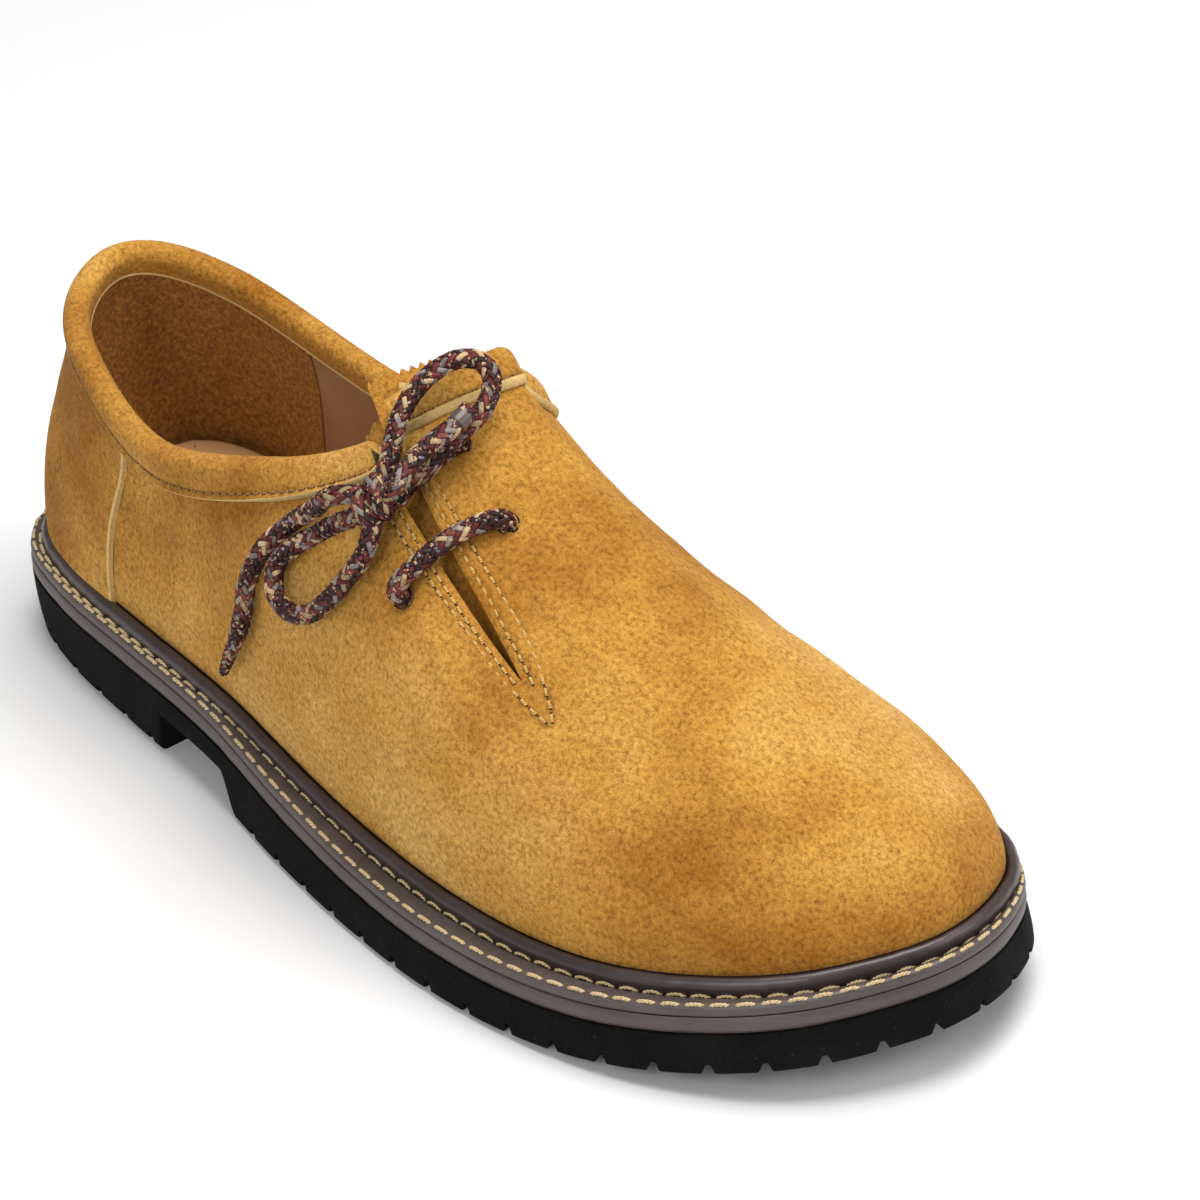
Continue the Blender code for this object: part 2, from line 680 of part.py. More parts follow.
def make_counter(origin):
    """Heel panel over the quarters, between the welt's bead and the binding's cut edge."""
    reach = COUNTER_TOP / SOLE_LENGTH
    ways = stations()
    ways = np.sort(np.where(ways > 1, ways - 2, ways))
    ways = ways[np.abs(ways) < reach - 0.008]
    ways = np.concatenate([[-reach], ways, [reach]])
    shares = np.linspace(0, 1, 8)[:, None]
    grid_ways = np.mod(ways * (COUNTER_FOOT + (COUNTER_TOP - COUNTER_FOOT) * shares) / COUNTER_TOP, 2)
    low = rise_at_height(grid_ways[0], BEAD_HEIGHT * 1.05 + CLEAR)
    high = rise_below_top(grid_ways[-1], FLANGE + 2 * CLEAR)
    rises = low + (high - low) * shares
    inner = surface(grid_ways, rises, CLEAR)
    outer = surface(grid_ways, rises, CLEAR + COUNTER)
    finish = material("counter_suede", (0.53, 0.27, 0.07), 0.95)
    add_object("counter", patch("counter", inner, outer), finish, origin)


def make_tongue(origin):
    """Sheet under the slit, with a pinked edge that stands over the top line."""
    columns = 21
    share = np.linspace(0, 1, columns)
    across = -TONGUE_OUTER + (TONGUE_OUTER + TONGUE_INNER) * share
    gap_in = SUEDE + 2 * CLEAR + BINDING + ROOF_CLEAR
    rises = np.linspace(1 - SLIT_LENGTH_SHARE - TONGUE_BELOW_SLIT, 1.0, 9)
    rows = []
    for k, rise in enumerate(rises):
        narrow = TONGUE_FOOT_SHARE + (1 - TONGUE_FOOT_SHARE) * k / (len(rises) - 1)
        rows.append((across_slit(np.full(columns, rise), across * narrow), np.full(columns, rise)))
    inner = [surface(way, rise, -gap_in - TONGUE) for way, rise in rows]
    outer = [surface(way, rise, -gap_in) for way, rise in rows]
    lead_inner = inner[-1] - inner[-2]
    lead_outer = outer[-1] - outer[-2]
    stand = TONGUE_STAND_OUTER + (TONGUE_STAND_INNER - TONGUE_STAND_OUTER) * share
    stand = stand * (1 - 0.35 * (2 * share - 1)**6)
    tooth = TONGUE_TOOTH * np.where(np.arange(columns) % 2, 0.5, -0.5)
    for height in (0.5, 1.0):
        reach = (stand * height + (tooth if height == 1.0 else 0.0))[:, None]
        for faces, lead in ((inner, lead_inner), (outer, lead_outer)):
            unit = lead / np.linalg.norm(lead, axis=1, keepdims=True)
            faces.append(faces[len(rises) - 1] + unit * reach)
    mesh = patch("tongue", np.array(inner), np.array(outer))
    add_object("tongue", mesh, material("tongue_suede", (0.52, 0.27, 0.07), 0.95), origin)


def tube(name, points, origin):
    """Round lace along the points."""
    curve = bpy.data.curves.new(name, "CURVE")
    curve.dimensions = "3D"
    curve.bevel_depth = LACE / 2
    curve.bevel_resolution = 2
    curve.use_fill_caps = True
    spline = curve.splines.new("POLY")
    spline.points.add(len(points) - 1)
    for spot, point in zip(spline.points, points):
        spot.co = (*point, 1.0)
    finish = bpy.data.materials.get("lace_braid")
    if finish is None:
        finish = material("lace_braid", (0.10, 0.035, 0.028), 0.7)
    curve.materials.append(finish)
    lace = bpy.data.objects.new(name, curve)
    SHOE.objects.link(lace)
    lace.parent = origin


def make_lace_bar(name, first, second, slack, lift, origin):
    """A crossing from hole to hole, which rises out of one, runs clear of the suede and dips into
    the other. slack bows it towards the top line, and lift bows it off the suede."""
    bend = HOLE / 2
    start = np.array(LACE_HOLES[first])
    stop = np.array(LACE_HOLES[second])
    ends = [surface(across_slit(rise, across), rise) for rise, across in (start, stop)]
    length = np.linalg.norm(ends[1] - ends[0])
    quarter = np.radians([30, 60, 90])
    rising = [(0.0, -0.8 * SUEDE), (0.0, 0.0)]
    rising += [(bend * (1 - math.cos(a)) / length, bend * math.sin(a)) for a in quarter]
    level = [(share, bend) for share in np.linspace(bend / length, 1 - bend / length, 6)[1:-1]]
    falling = [(1 - share, out) for share, out in reversed(rising)]
    points = []
    for share, out in rising + level + falling:
        rise, across = start + (stop - start) * share
        arch = 4 * share * (1 - share)
        rise += slack * arch
        points.append(surface(across_slit(rise, across), rise, out + lift * arch))
    tube(name, points, origin)


def make_bow(origin):
    """The knot lies on the upper bar. Each route starts on the knot's face, and a loop ends there."""
    way = across_slit(KNOT_RISE, KNOT_ACROSS)
    face = surface(way, KNOT_RISE)
    lie = Vector(surface(way, KNOT_RISE, 1.0) - face).to_track_quat("Z", "Y").to_matrix()
    centre = face + np.array(lie.col[2]) * (HOLE / 2 + LACE / 2 + CLEAR + KNOT_SIZE[2] / 2)
    ball = bmesh.new()
    bmesh.ops.create_icosphere(ball, subdivisions=2, radius=0.5)
    mesh = bpy.data.meshes.new("lace_knot")
    ball.to_mesh(mesh)
    ball.free()
    mesh.transform(Matrix.Diagonal((*KNOT_SIZE, 1.0)))
    knot = add_object("lace_knot", mesh, bpy.data.materials["lace_braid"], origin)
    knot.location = centre
    knot.rotation_euler = lie.to_euler()

    def rim(towards):
        """Point off the knot's face by the gap, in the direction of another point."""
        ahead = Vector(towards - centre).normalized()
        turned = np.array(lie.transposed() @ ahead) / (np.array(KNOT_SIZE) / 2)
        return centre + np.array(ahead) * (1 / np.linalg.norm(turned) + 2 * CLEAR)

    for name, route in LACE_ROUTES.items():
        route = [np.array(point) for point in route]
        route.insert(0, rim(route[0]))
        if "loop" in name:
            route.append(rim(route[-1]))
        route = np.array(route)
        run = np.concatenate([[0], np.cumsum(np.linalg.norm(np.diff(route, axis=0), axis=1))])
        count = round(run[-1] / BOW_STEP) + 1
        tube(name, through(run, route, np.linspace(0, run[-1], count)), origin)


clear_scene()
heel_point = bpy.data.objects.new("heel_point", None)
SHOE.objects.link(heel_point)
heel_point.location = (-HEEL_CENTRE, 0, 0)
make_outsole(heel_point)
make_midsole(heel_point)
make_welt(heel_point)
make_insole(heel_point)
make_upper(heel_point)
make_collar(heel_point)
make_counter(heel_point)
make_tongue(heel_point)
make_lace_bar("lace_bar_lower", "outer_lower", "inner_lower", BAR_SLACK, BAR_ARCH, heel_point)
make_lace_bar("lace_bar_upper", "outer_upper", "inner_upper", 0.0, 0.0, heel_point)
make_bow(heel_point)
bpy.context.view_layer.update()
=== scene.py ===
"""Right shoe of a side-laced suede pair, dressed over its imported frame.

Metres, +Z up. The toe points along +X, the outer side of the foot along -Y, and the origin is on
the floor under the middle of the heel.
"""

import math

import bmesh
import bpy
import numpy as np
from mathutils import Matrix, Vector


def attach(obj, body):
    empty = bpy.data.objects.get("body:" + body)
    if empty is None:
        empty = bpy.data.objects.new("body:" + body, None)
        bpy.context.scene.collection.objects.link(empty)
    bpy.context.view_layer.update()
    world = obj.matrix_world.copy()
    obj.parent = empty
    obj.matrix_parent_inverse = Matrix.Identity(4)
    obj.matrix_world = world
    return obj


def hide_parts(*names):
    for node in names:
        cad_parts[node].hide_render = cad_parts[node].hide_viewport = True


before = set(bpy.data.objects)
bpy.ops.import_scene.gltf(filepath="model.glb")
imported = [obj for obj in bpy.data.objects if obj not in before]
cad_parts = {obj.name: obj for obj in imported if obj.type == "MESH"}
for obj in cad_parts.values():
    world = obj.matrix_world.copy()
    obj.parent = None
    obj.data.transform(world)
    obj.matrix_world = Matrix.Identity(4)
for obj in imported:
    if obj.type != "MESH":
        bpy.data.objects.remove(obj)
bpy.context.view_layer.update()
chance = np.random.default_rng(11)

# Camera. It stands in front of the toe on the shoe's outer side, looks down on it from about a
# third of a right angle, and is far enough off for nearly parallel lines, as in a catalogue photo.
azimuth = math.radians(50.393)
elevation = math.radians(31.886)
roll = math.radians(-2.352)
distance = 1.34827
target = np.array([0.094288, 0.050015, 0.025])
back = np.array([math.sin(azimuth) * math.cos(elevation),
                 -math.cos(azimuth) * math.cos(elevation), math.sin(elevation)])
level_right = np.array([math.cos(azimuth), math.sin(azimuth), 0.0])
level_up = np.cross(back, level_right)
camera_right = math.cos(roll) * level_right + math.sin(roll) * level_up
camera_up = -math.sin(roll) * level_right + math.cos(roll) * level_up
lens = bpy.data.cameras.new("camera")
lens.sensor_width = 36.0
lens.lens = 170.93
lens.clip_start = 0.05
lens.clip_end = 20.0
camera = bpy.data.objects.new("camera", lens)
bpy.context.scene.collection.objects.link(camera)
camera.matrix_world = Matrix([
    (camera_right[row], camera_up[row], back[row], target[row] + back[row] * distance)
    for row in range(3)] + [(0.0, 0.0, 0.0, 1.0)])
bpy.context.scene.camera = camera

# Bow. A round shoe lace, 4.6 mm thick, braided from sixteen flat strands of burgundy and brown yarn
# with cream, tan and grey-blue ones among them. Its loops and ends leave a knot on the upper bar.
HEEL_CENTRE = 0.035
STRANDS = 8
BRAID_TURN = 0.017
BRAID_STEP = 0.00036
STRAND_MIDDLE = 0.00176
STRAND_LIFT = 0.00028
STRAND_HALF_WIDTH = 0.00062
STRAND_HALF_THICK = 0.00028
CORE_RADIUS = 0.00155
YARNS = ((0.095, 0.014, 0.012), (0.035, 0.010, 0.009), (0.130, 0.028, 0.020), (0.022, 0.011, 0.010),
         (0.075, 0.013, 0.012), (0.400, 0.270, 0.150), (0.040, 0.012, 0.011), (0.170, 0.140, 0.130))
KNOT_CENTRE = (0.1561, -0.0341, 0.0995)
KNOT_ACROSS = (0.36, 0.64, 0.68)
KNOT_OUT = (0.192, -0.624, 0.758)
KNOT_PITCH = 0.0044
KNOT_HALF_WIDTH = 0.0034
KNOT_HALF_THICK = 0.0021
BOW_ROUTES = {
    "lace_loop_upper": (
        (0.1548, -0.0325, 0.1010), (0.1517, -0.0265, 0.1057), (0.1480, -0.0212, 0.1098),
        (0.1461, -0.0146, 0.1146), (0.1469, -0.0082, 0.1182), (0.1497, -0.0032, 0.1200),
        (0.1525, -0.0007, 0.1195), (0.1559, -0.0005, 0.1175), (0.1582, -0.0028, 0.1146),
        (0.1596, -0.0074, 0.1114), (0.1593, -0.0114, 0.1092), (0.1589, -0.0156, 0.1073),
        (0.1588, -0.0208, 0.1048), (0.1572, -0.0305, 0.1005),
    ),
    "lace_loop_lower": (
        (0.1535, -0.0355, 0.0970), (0.1507, -0.0372, 0.0938), (0.1463, -0.0376, 0.0908),
        (0.1378, -0.0382, 0.0842), (0.1317, -0.0405, 0.0788), (0.1280, -0.0426, 0.0731),
        (0.1294, -0.0443, 0.0683), (0.1358, -0.0454, 0.0662), (0.1427, -0.0452, 0.0687),
        (0.1482, -0.0435, 0.0741), (0.1530, -0.0418, 0.0810), (0.1576, -0.0400, 0.0883),
        (0.1580, -0.0365, 0.0965),
    ),
    "lace_end_long": (
        (0.1530, -0.0355, 0.1000), (0.1484, -0.0395, 0.0995), (0.1390, -0.0387, 0.0917),
        (0.1284, -0.0382, 0.0828), (0.1231, -0.0407, 0.0767), (0.1198, -0.0426, 0.0702),
        (0.1180, -0.0440, 0.0639), (0.1179, -0.0450, 0.0584), (0.1159, -0.0455, 0.0519),
        (0.1123, -0.0454, 0.0450), (0.1079, -0.0449, 0.0372),
    ),
    "lace_end_short": (
        (0.1590, -0.0340, 0.1010), (0.1628, -0.0333, 0.1063), (0.1609, -0.0253, 0.1095),
        (0.1609, -0.0200, 0.1113), (0.1612, -0.0153, 0.1127), (0.1606, -0.0106, 0.1146),
    ),
}


def through(knots, values, at, period=None):
    """Read a smooth curve through the values, which stand at the knots."""
    knots = np.asarray(knots, float)
    values = np.asarray(values, float)
    if period:
        knots = np.concatenate([knots[-2:] - period, knots, knots[:3] + period])
        values = np.concatenate([values[-2:], values, values[:3]])
    slopes = np.gradient(values, knots, axis=0)
    at = np.asarray(at, float)
    left = np.clip(np.searchsorted(knots, at, side="right") - 1, 0, len(knots) - 2)
    step = knots[left + 1] - knots[left]
    s = (at - knots[left]) / step
    for _ in range(values.ndim - 1):
        step = step[..., None]
        s = s[..., None]
    return ((2 * s**3 - 3 * s**2 + 1) * values[left] + (s**3 - 2 * s**2 + s) * step * slopes[left]
            + (3 * s**2 - 2 * s**3) * values[left + 1] + (s**3 - s**2) * step * slopes[left + 1])


def run_of(points):
    steps = np.linalg.norm(np.diff(points, axis=0), axis=1)
    return np.concatenate([[0.0], np.cumsum(steps)])


def unit(vectors):
    return vectors / np.linalg.norm(vectors, axis=-1, keepdims=True)


def even_path(route, step):
    """The smooth line through a route, cut into even steps."""
    route = np.asarray(route, float)
    run = run_of(route)
    fine = through(run, route, np.linspace(0, run[-1], 600))
    fine_run = run_of(fine)
    count = round(fine_run[-1] / step) + 1
    at = np.linspace(0, fine_run[-1], count)
    return np.stack([np.interp(at, fine_run, fine[:, axis]) for axis in range(3)], axis=1)


def carried_frames(points):
    """Direction and two crosswise directions at each point, turning no more than the line does."""
    ahead = unit(np.gradient(points, axis=0))
    start = np.cross(ahead[0], (0.3, 0.5, 0.8))
    side = [start / np.linalg.norm(start)]
    for direction in ahead[1:]:
        carried = side[-1] - direction * np.dot(side[-1], direction)
        side.append(carried / np.linalg.norm(carried))
    side = np.array(side)
    return ahead, side, np.cross(ahead, side)


def tube_faces(rows, sides, first=0):
    """Faces of a tube whose points stand in rows of equal count, with both ends closed."""
    row, k = np.meshgrid(np.arange(rows - 1), np.arange(sides), indexing="ij")
    row = row.ravel()
    k = k.ravel()
    follow = (k + 1) % sides
    quads = np.stack([row * sides + k, row * sides + follow,
                      (row + 1) * sides + follow, (row + 1) * sides + k], axis=1) + first
    ends = [tuple(first + np.arange(sides)[::-1]), tuple(first + (rows - 1) * sides + np.arange(sides))]
    return [tuple(quad) for quad in quads.tolist()] + [tuple(int(i) for i in end) for end in ends]


def new_piece(name, points, faces, finishes, finish_of_face=None, smooth=True):
    """A mesh object from points that count x from the back of the midsole."""
    mesh = bpy.data.meshes.new(name)
    placed = np.asarray(points, float) - np.array([HEEL_CENTRE, 0.0, 0.0])
    mesh.from_pydata(placed.tolist(), [], faces)
    for finish in finishes:
        mesh.materials.append(finish)
    if finish_of_face is not None:
        mesh.polygons.foreach_set("material_index", np.asarray(finish_of_face, np.int32))
    if smooth:
        mesh.shade_smooth()
    piece = bpy.data.objects.new(name, mesh)
    bpy.context.scene.collection.objects.link(piece)
    return piece


def dress(piece, slot, *nodes):
    """The piece rides with the shoe and stands for the nodes named, which it hides. The slot is not used.
    """
    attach(piece, "root")
    if nodes:
        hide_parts(*nodes)
    return piece


def new_finish(name, colour, roughness):
    """A material, its node tree, its shader and the object's own coordinates."""
    made = bpy.data.materials.new(name)
    made.use_nodes = True
    tree = made.node_tree
    shader = tree.nodes["Principled BSDF"]
    shader.inputs["Base Color"].default_value = (*colour, 1.0)
    shader.inputs["Roughness"].default_value = roughness
    where = tree.nodes.new("ShaderNodeTexCoord").outputs["Object"]
    return made, tree, shader, where


def stretched(tree, where, scale):
    """The coordinates, stretched by a scale for each axis."""
    node = tree.nodes.new("ShaderNodeMapping")
    node.inputs["Scale"].default_value = scale
    tree.links.new(where, node.inputs["Vector"])
    return node.outputs["Vector"]


def cloud(tree, where, scale, detail=2.0, rough=0.5):
    node = tree.nodes.new("ShaderNodeTexNoise")
    node.inputs["Scale"].default_value = scale
    node.inputs["Detail"].default_value = detail
    node.inputs["Roughness"].default_value = rough
    tree.links.new(where, node.inputs["Vector"])
    return node.outputs["Fac"]


def shades(tree, factor, stops):
    """Colours along a ramp, from stops of place and colour."""
    node = tree.nodes.new("ShaderNodeValToRGB")
    ramp = node.color_ramp
    while len(ramp.elements) < len(stops):
        ramp.elements.new(0.5)
    for element, (place, colour) in zip(ramp.elements, stops):
        element.position = place
        element.color = (*colour, 1.0)
    tree.links.new(factor, node.inputs["Fac"])
    return node.outputs["Color"]


def blended(tree, factor, first, second, way="MIX"):
    """Two colours mixed. The factor is a number or a socket, and each colour is either too."""
    node = tree.nodes.new("ShaderNodeMix")
    node.data_type = "RGBA"
    node.blend_type = way
    pairs = ((node.inputs["Factor"], factor), (node.inputs[6], first), (node.inputs[7], second))
    for socket, value in pairs:
        if hasattr(value, "is_output"):
            tree.links.new(value, socket)
        elif isinstance(value, tuple):
            socket.default_value = (*value, 1.0)
        else:
            socket.default_value = value
    return node.outputs[2]


def relief(tree, shader, height, depth, below=None):
    """Bump of this depth in metres, laid over an earlier one."""
    node = tree.nodes.new("ShaderNodeBump")
    node.inputs["Strength"].default_value = 1.0
    node.inputs["Distance"].default_value = depth
    tree.links.new(height, node.inputs["Height"])
    if below is not None:
        tree.links.new(below, node.inputs["Normal"])
    tree.links.new(node.outputs["Normal"], shader.inputs["Normal"])
    return node.outputs["Normal"]


yarn, tree, shader, where = new_finish("braided_yarn", (0.05, 0.014, 0.013), 0.62)
shade = tree.nodes.new("ShaderNodeAttribute")
shade.attribute_name = "yarn"
fibre = cloud(tree, where, 2600.0, 3.0)
dark_fibre = shades(tree, fibre, ((0.30, (0.55, 0.55, 0.55)), (0.70, (1.35, 1.35, 1.35))))
fleck_mask = shades(tree, cloud(tree, where, 760.0, 2.0, 0.6),
                    ((0.600, (0.0, 0.0, 0.0)), (0.640, (1.0, 1.0, 1.0))))
blue_mask = shades(tree, cloud(tree, where, 520.0, 2.0, 0.6),
                   ((0.660, (0.0, 0.0, 0.0)), (0.700, (1.0, 1.0, 1.0))))
flecked = blended(tree, fleck_mask, shade.outputs["Color"], (0.46, 0.30, 0.16))
flecked = blended(tree, blue_mask, flecked, (0.22, 0.23, 0.28))
tree.links.new(blended(tree, 1.0, flecked, dark_fibre, "MULTIPLY"), shader.inputs["Base Color"])
relief(tree, shader, fibre, 0.00012)
shader.inputs["Specular IOR Level"].default_value = 0.25


def braid(name, route, taper=0.0):
    """Round braid of crossing strands over a core. Returns the piece and its middle line."""
    line = even_path(route, BRAID_STEP)
    run = run_of(line)
    ahead, side, lift = carried_frames(line)
    turn = 2 * np.pi / BRAID_TURN
    size = 1 - taper * np.clip((run - run[-1] + 0.02) / 0.02, 0, 1)
    points = []
    faces = []
    colours = []
    ring = np.linspace(0, 2 * np.pi, 7)[:-1]
    first = 0
    for hand in (1, -1):
        for strand in range(STRANDS):
            angle = 2 * np.pi * strand / STRANDS + hand * turn * run
            place = 2 * strand + hand * STRANDS * turn * run / np.pi
            over = np.tanh(2.0 * np.cos(np.pi * (place - 0.5) / 2)) * hand
            out = side * np.cos(angle)[:, None] + lift * np.sin(angle)[:, None]
            radius = (STRAND_MIDDLE + STRAND_LIFT * over) * size
            middle = line + out * radius[:, None]
            wide = unit(np.cross(unit(np.gradient(middle, axis=0)), out))
            section = (middle[:, None, :]
                       + wide[:, None, :] * (STRAND_HALF_WIDTH * np.cos(ring))[None, :, None]
                       * size[:, None, None]
                       + out[:, None, :] * (STRAND_HALF_THICK * np.sin(ring))[None, :, None]
                       * size[:, None, None])
            points.append(section.reshape(-1, 3))
            faces += tube_faces(len(line), 6, first)
            first += len(line) * 6
            base = np.array(YARNS[(strand * 3 + (2 if hand > 0 else 0)) % len(YARNS)])
            pick = np.floor((place - 0.5 + hand) / 4).astype(int)
            tint = 1 + 0.35 * np.sin(pick * 12.9898 + strand * 4.1)
            colours.append(np.repeat(base[None, :] * tint[:, None], 6, axis=0))
    core = line[:, None, :] + CORE_RADIUS * size[:, None, None] * (
        side[:, None, :] * np.cos(ring)[None, :, None] + lift[:, None, :] * np.sin(ring)[None, :, None])
    points.append(core.reshape(-1, 3))
    faces += tube_faces(len(line), 6, first)
    colours.append(np.full((len(line) * 6, 3), 0.008))
    piece = new_piece(name, np.concatenate(points), faces, [yarn])
    layer = piece.data.color_attributes.new("yarn", "FLOAT_COLOR", "POINT")
    colours = np.concatenate(colours)
    layer.data.foreach_set("color", np.concatenate([colours, np.ones((len(colours), 1))], axis=1).ravel())
    return piece, line - np.array([HEEL_CENTRE, 0.0, 0.0])


def knot_route():
    """Two wraps side by side round the bow's middle, flattened against the upper."""
    axis = unit(np.array(KNOT_ACROSS))
    out = unit(np.array(KNOT_OUT) - axis * np.dot(axis, KNOT_OUT))
    level = np.cross(axis, out)
    angle = np.linspace(0, 2 * np.pi * 2.0, 41)
    along = (angle / (2 * np.pi) - 1.0) * KNOT_PITCH
    return (np.array(KNOT_CENTRE) + axis * along[:, None]
            + level * (KNOT_HALF_WIDTH * np.cos(angle))[:, None]
            + out * (KNOT_HALF_THICK * np.sin(angle))[:, None])


knot_wraps, _ = braid("knot_wraps", knot_route())
dress(knot_wraps, "lace_braid", "lace_knot")
short_end, _ = braid("short_lace_end", BOW_ROUTES["lace_end_short"])
dress(short_end, "lace_braid", "lace_end_short")
upper_loop, upper_line = braid("upper_bow_loop", BOW_ROUTES["lace_loop_upper"])
dress(upper_loop, "lace_braid", "lace_loop_upper")
lower_loop, lower_line = braid("lower_bow_loop", BOW_ROUTES["lace_loop_lower"])
dress(lower_loop, "lace_braid", "lace_loop_lower")
long_end, long_line = braid("long_lace_end", BOW_ROUTES["lace_end_long"], 0.45)
dress(long_end, "lace_braid", "lace_end_long")

# Lace tip. A sleeve of clear plastic, shrunk over the end of the braid so that it can be threaded
# through the holes. The dark yarn shows through it.
TIP_RADIUS = 0.00238
TIP_NARROWING = 0.0009
TIP_SIDES = 24
plastic, tree, shader, where = new_finish("clear_tip_plastic", (0.10, 0.07, 0.06), 0.35)
shader.inputs["Transmission Weight"].default_value = 0.35
shader.inputs["Coat Weight"].default_value = 0.15
relief(tree, shader, cloud(tree, where, 700.0), 0.00006)
tip_line = even_path(np.array(BOW_ROUTES["lace_end_short"])[-2:], 0.0004)
_, tip_side, tip_lift = carried_frames(tip_line)
tip_ring = np.linspace(0, 2 * np.pi, TIP_SIDES + 1)[:-1]
tip_radius = TIP_RADIUS - TIP_NARROWING * np.linspace(0, 1, len(tip_line))**4
tip_points = tip_line[:, None, :] + tip_radius[:, None, None] * (
    tip_side[:, None, :] * np.cos(tip_ring)[None, :, None]
    + tip_lift[:, None, :] * np.sin(tip_ring)[None, :, None])
tip = new_piece("lace_tip", tip_points.reshape(-1, 3), tube_faces(len(tip_line), TIP_SIDES), [plastic])
dress(tip, "lace_braid")

# Outsole. One black rubber unit with a heel block, a raised waist and a forefoot tread that springs
# up at the toe. V-shaped notches part the lugs all round its lower edge.
SOLE_LENGTH = 0.2965
BALL_WIDTH = 0.1125
HEEL_HEIGHT = 0.0173
TREAD = 0.0099
TOE_SPRING = 0.0125
FLARE = 0.0018
HEEL_LEAN = 0.003
TREAD_BEVEL = 0.0012
WAIST_RISE = 0.0095
BREAST_AT = 0.0775
TREAD_START = 0.106
WAIST_RAMP = 0.007
NOTCH_PITCH = 0.0125
NOTCH_WIDTH = 0.0040
NOTCH_HEIGHT = 0.0036
NOTCH_DEPTH = 0.0040
# along, outer, inner, as shares of the length and the ball's width
OUTLINE = (
    (0.000, 0.000, 0.000), (0.004, 0.142, 0.148), (0.030, 0.258, 0.262), (0.108, 0.338, 0.333),
    (0.226, 0.378, 0.330), (0.344, 0.408, 0.305), (0.456, 0.460, 0.312), (0.560, 0.496, 0.372),
    (0.648, 0.512, 0.440), (0.732, 0.498, 0.487), (0.816, 0.449, 0.500), (0.890, 0.356, 0.462),
    (0.951, 0.225, 0.365), (0.985, 0.080, 0.235), (1.000, -0.075, 0.075),
)


def turn_to_along(angle):
    return (1 - np.cos(angle)) / 2


def along_to_turn(along):
    return np.arccos(1 - 2 * np.clip(along, 0, 1))


def edge_points(way):
    """The midsole's edge. way runs 0 to 1 from heel to toe outside, and 1 to 2 back inside."""
    way = np.mod(way, 2)
    inner = way > 1
    along = np.where(inner, 2 - way, way)
    table = np.array(OUTLINE)
    angles = along_to_turn(table[:, 0])
    outer_y = through(angles, -table[:, 1], along_to_turn(along))
    inner_y = through(angles, table[:, 2], along_to_turn(along))
    return np.stack([along * SOLE_LENGTH, np.where(inner, inner_y, outer_y) * BALL_WIDTH], axis=-1)


def smooth_angle(way):
    way = np.asarray(way, float)
    lap = np.floor(way / 2)
    way = way - 2 * lap
    angle = along_to_turn(np.where(way > 1, 2 - way, way))
    return np.where(way > 1, 2 * np.pi - angle, angle) + 2 * np.pi * lap


def way_of_angle(angle):
    angle = np.mod(angle, 2 * np.pi)
    return np.where(angle > np.pi, 2 - turn_to_along(angle), turn_to_along(angle))


def edge_normals(way):
    angle = smooth_angle(way)
    ahead = edge_points(way_of_angle(angle + 0.03)) - edge_points(way_of_angle(angle - 0.03))
    return unit(np.stack([ahead[..., 1], -ahead[..., 0]], axis=-1))


def loop(way, inset):
    return edge_points(way) - edge_normals(way) * np.reshape(inset, (-1, 1))


def even_ways(count):
    """Ways round the sole, an even distance apart, from the heel's back."""
    angle = np.linspace(0, 2 * np.pi, 2001)
    run = run_of(edge_points(way_of_angle(angle)))
    half = np.interp(np.pi, angle, run)
    steps = count // 2
    first = np.interp(half * np.arange(steps + 1) / steps, run, angle)
    rest = np.interp(half + (run[-1] - half) * np.arange(1, steps) / steps, run, angle)
    return way_of_angle(np.concatenate([first, rest]))


def toe_lift(x):
    share = np.clip((x / SOLE_LENGTH - 0.70) / 0.30, 0, 1.1)
    return TOE_SPRING * share**2


def outsole_top(x):
    fall = np.clip((x / SOLE_LENGTH - 0.22) / 0.40, 0, 1)
    return TREAD + (HEEL_HEIGHT - TREAD) * (0.5 + 0.5 * np.cos(np.pi * fall)) + toe_lift(x)


def ground(x):
    into_tread = np.clip((TREAD_START + WAIST_RAMP - x) / WAIST_RAMP, 0, 1)
    return np.where(x < BREAST_AT, 0, WAIST_RISE * (3 * into_tread**2 - 2 * into_tread**3)) + toe_lift(x)


def tread_inset(x):
    share = np.clip(x / SOLE_LENGTH / 0.6, 0, 1)
    return HEEL_LEAN + (TREAD_BEVEL - FLARE - HEEL_LEAN) * (3 * share**2 - 2 * share**3)


def lifted(plan, height):
    return np.concatenate([plan, np.reshape(height, (-1, 1)) * np.ones((len(plan), 1))], axis=1)


def slab(loops):
    """Points and faces of a layer from its loops, lowest first. Rungs from side to side close it."""
    loops = np.asarray(loops)
    rows, count = loops.shape[:2]
    faces = []
    for row in range(rows - 1):
        for k in range(count):
            follow = (k + 1) % count
            faces.append((row * count + k, row * count + follow,
                          (row + 1) * count + follow, (row + 1) * count + k))
    for base, turned in ((0, True), ((rows - 1) * count, False)):
        for k in range(count // 2):
            across = [base + (count - k - 1) % count, base + (count - k) % count]
            rung = list(dict.fromkeys([base + k, base + k + 1] + across))
            faces.append(tuple(reversed(rung)) if turned else tuple(rung))
    return loops.reshape(-1, 3), faces


def soft_pits(ways, height):
    """Small unevenness of a cut or moulded edge."""
    angle = smooth_angle(ways)
    return height * (np.sin(37 * angle + 1.3) + np.sin(61 * angle) + np.sin(97 * angle + 0.4)) / 3


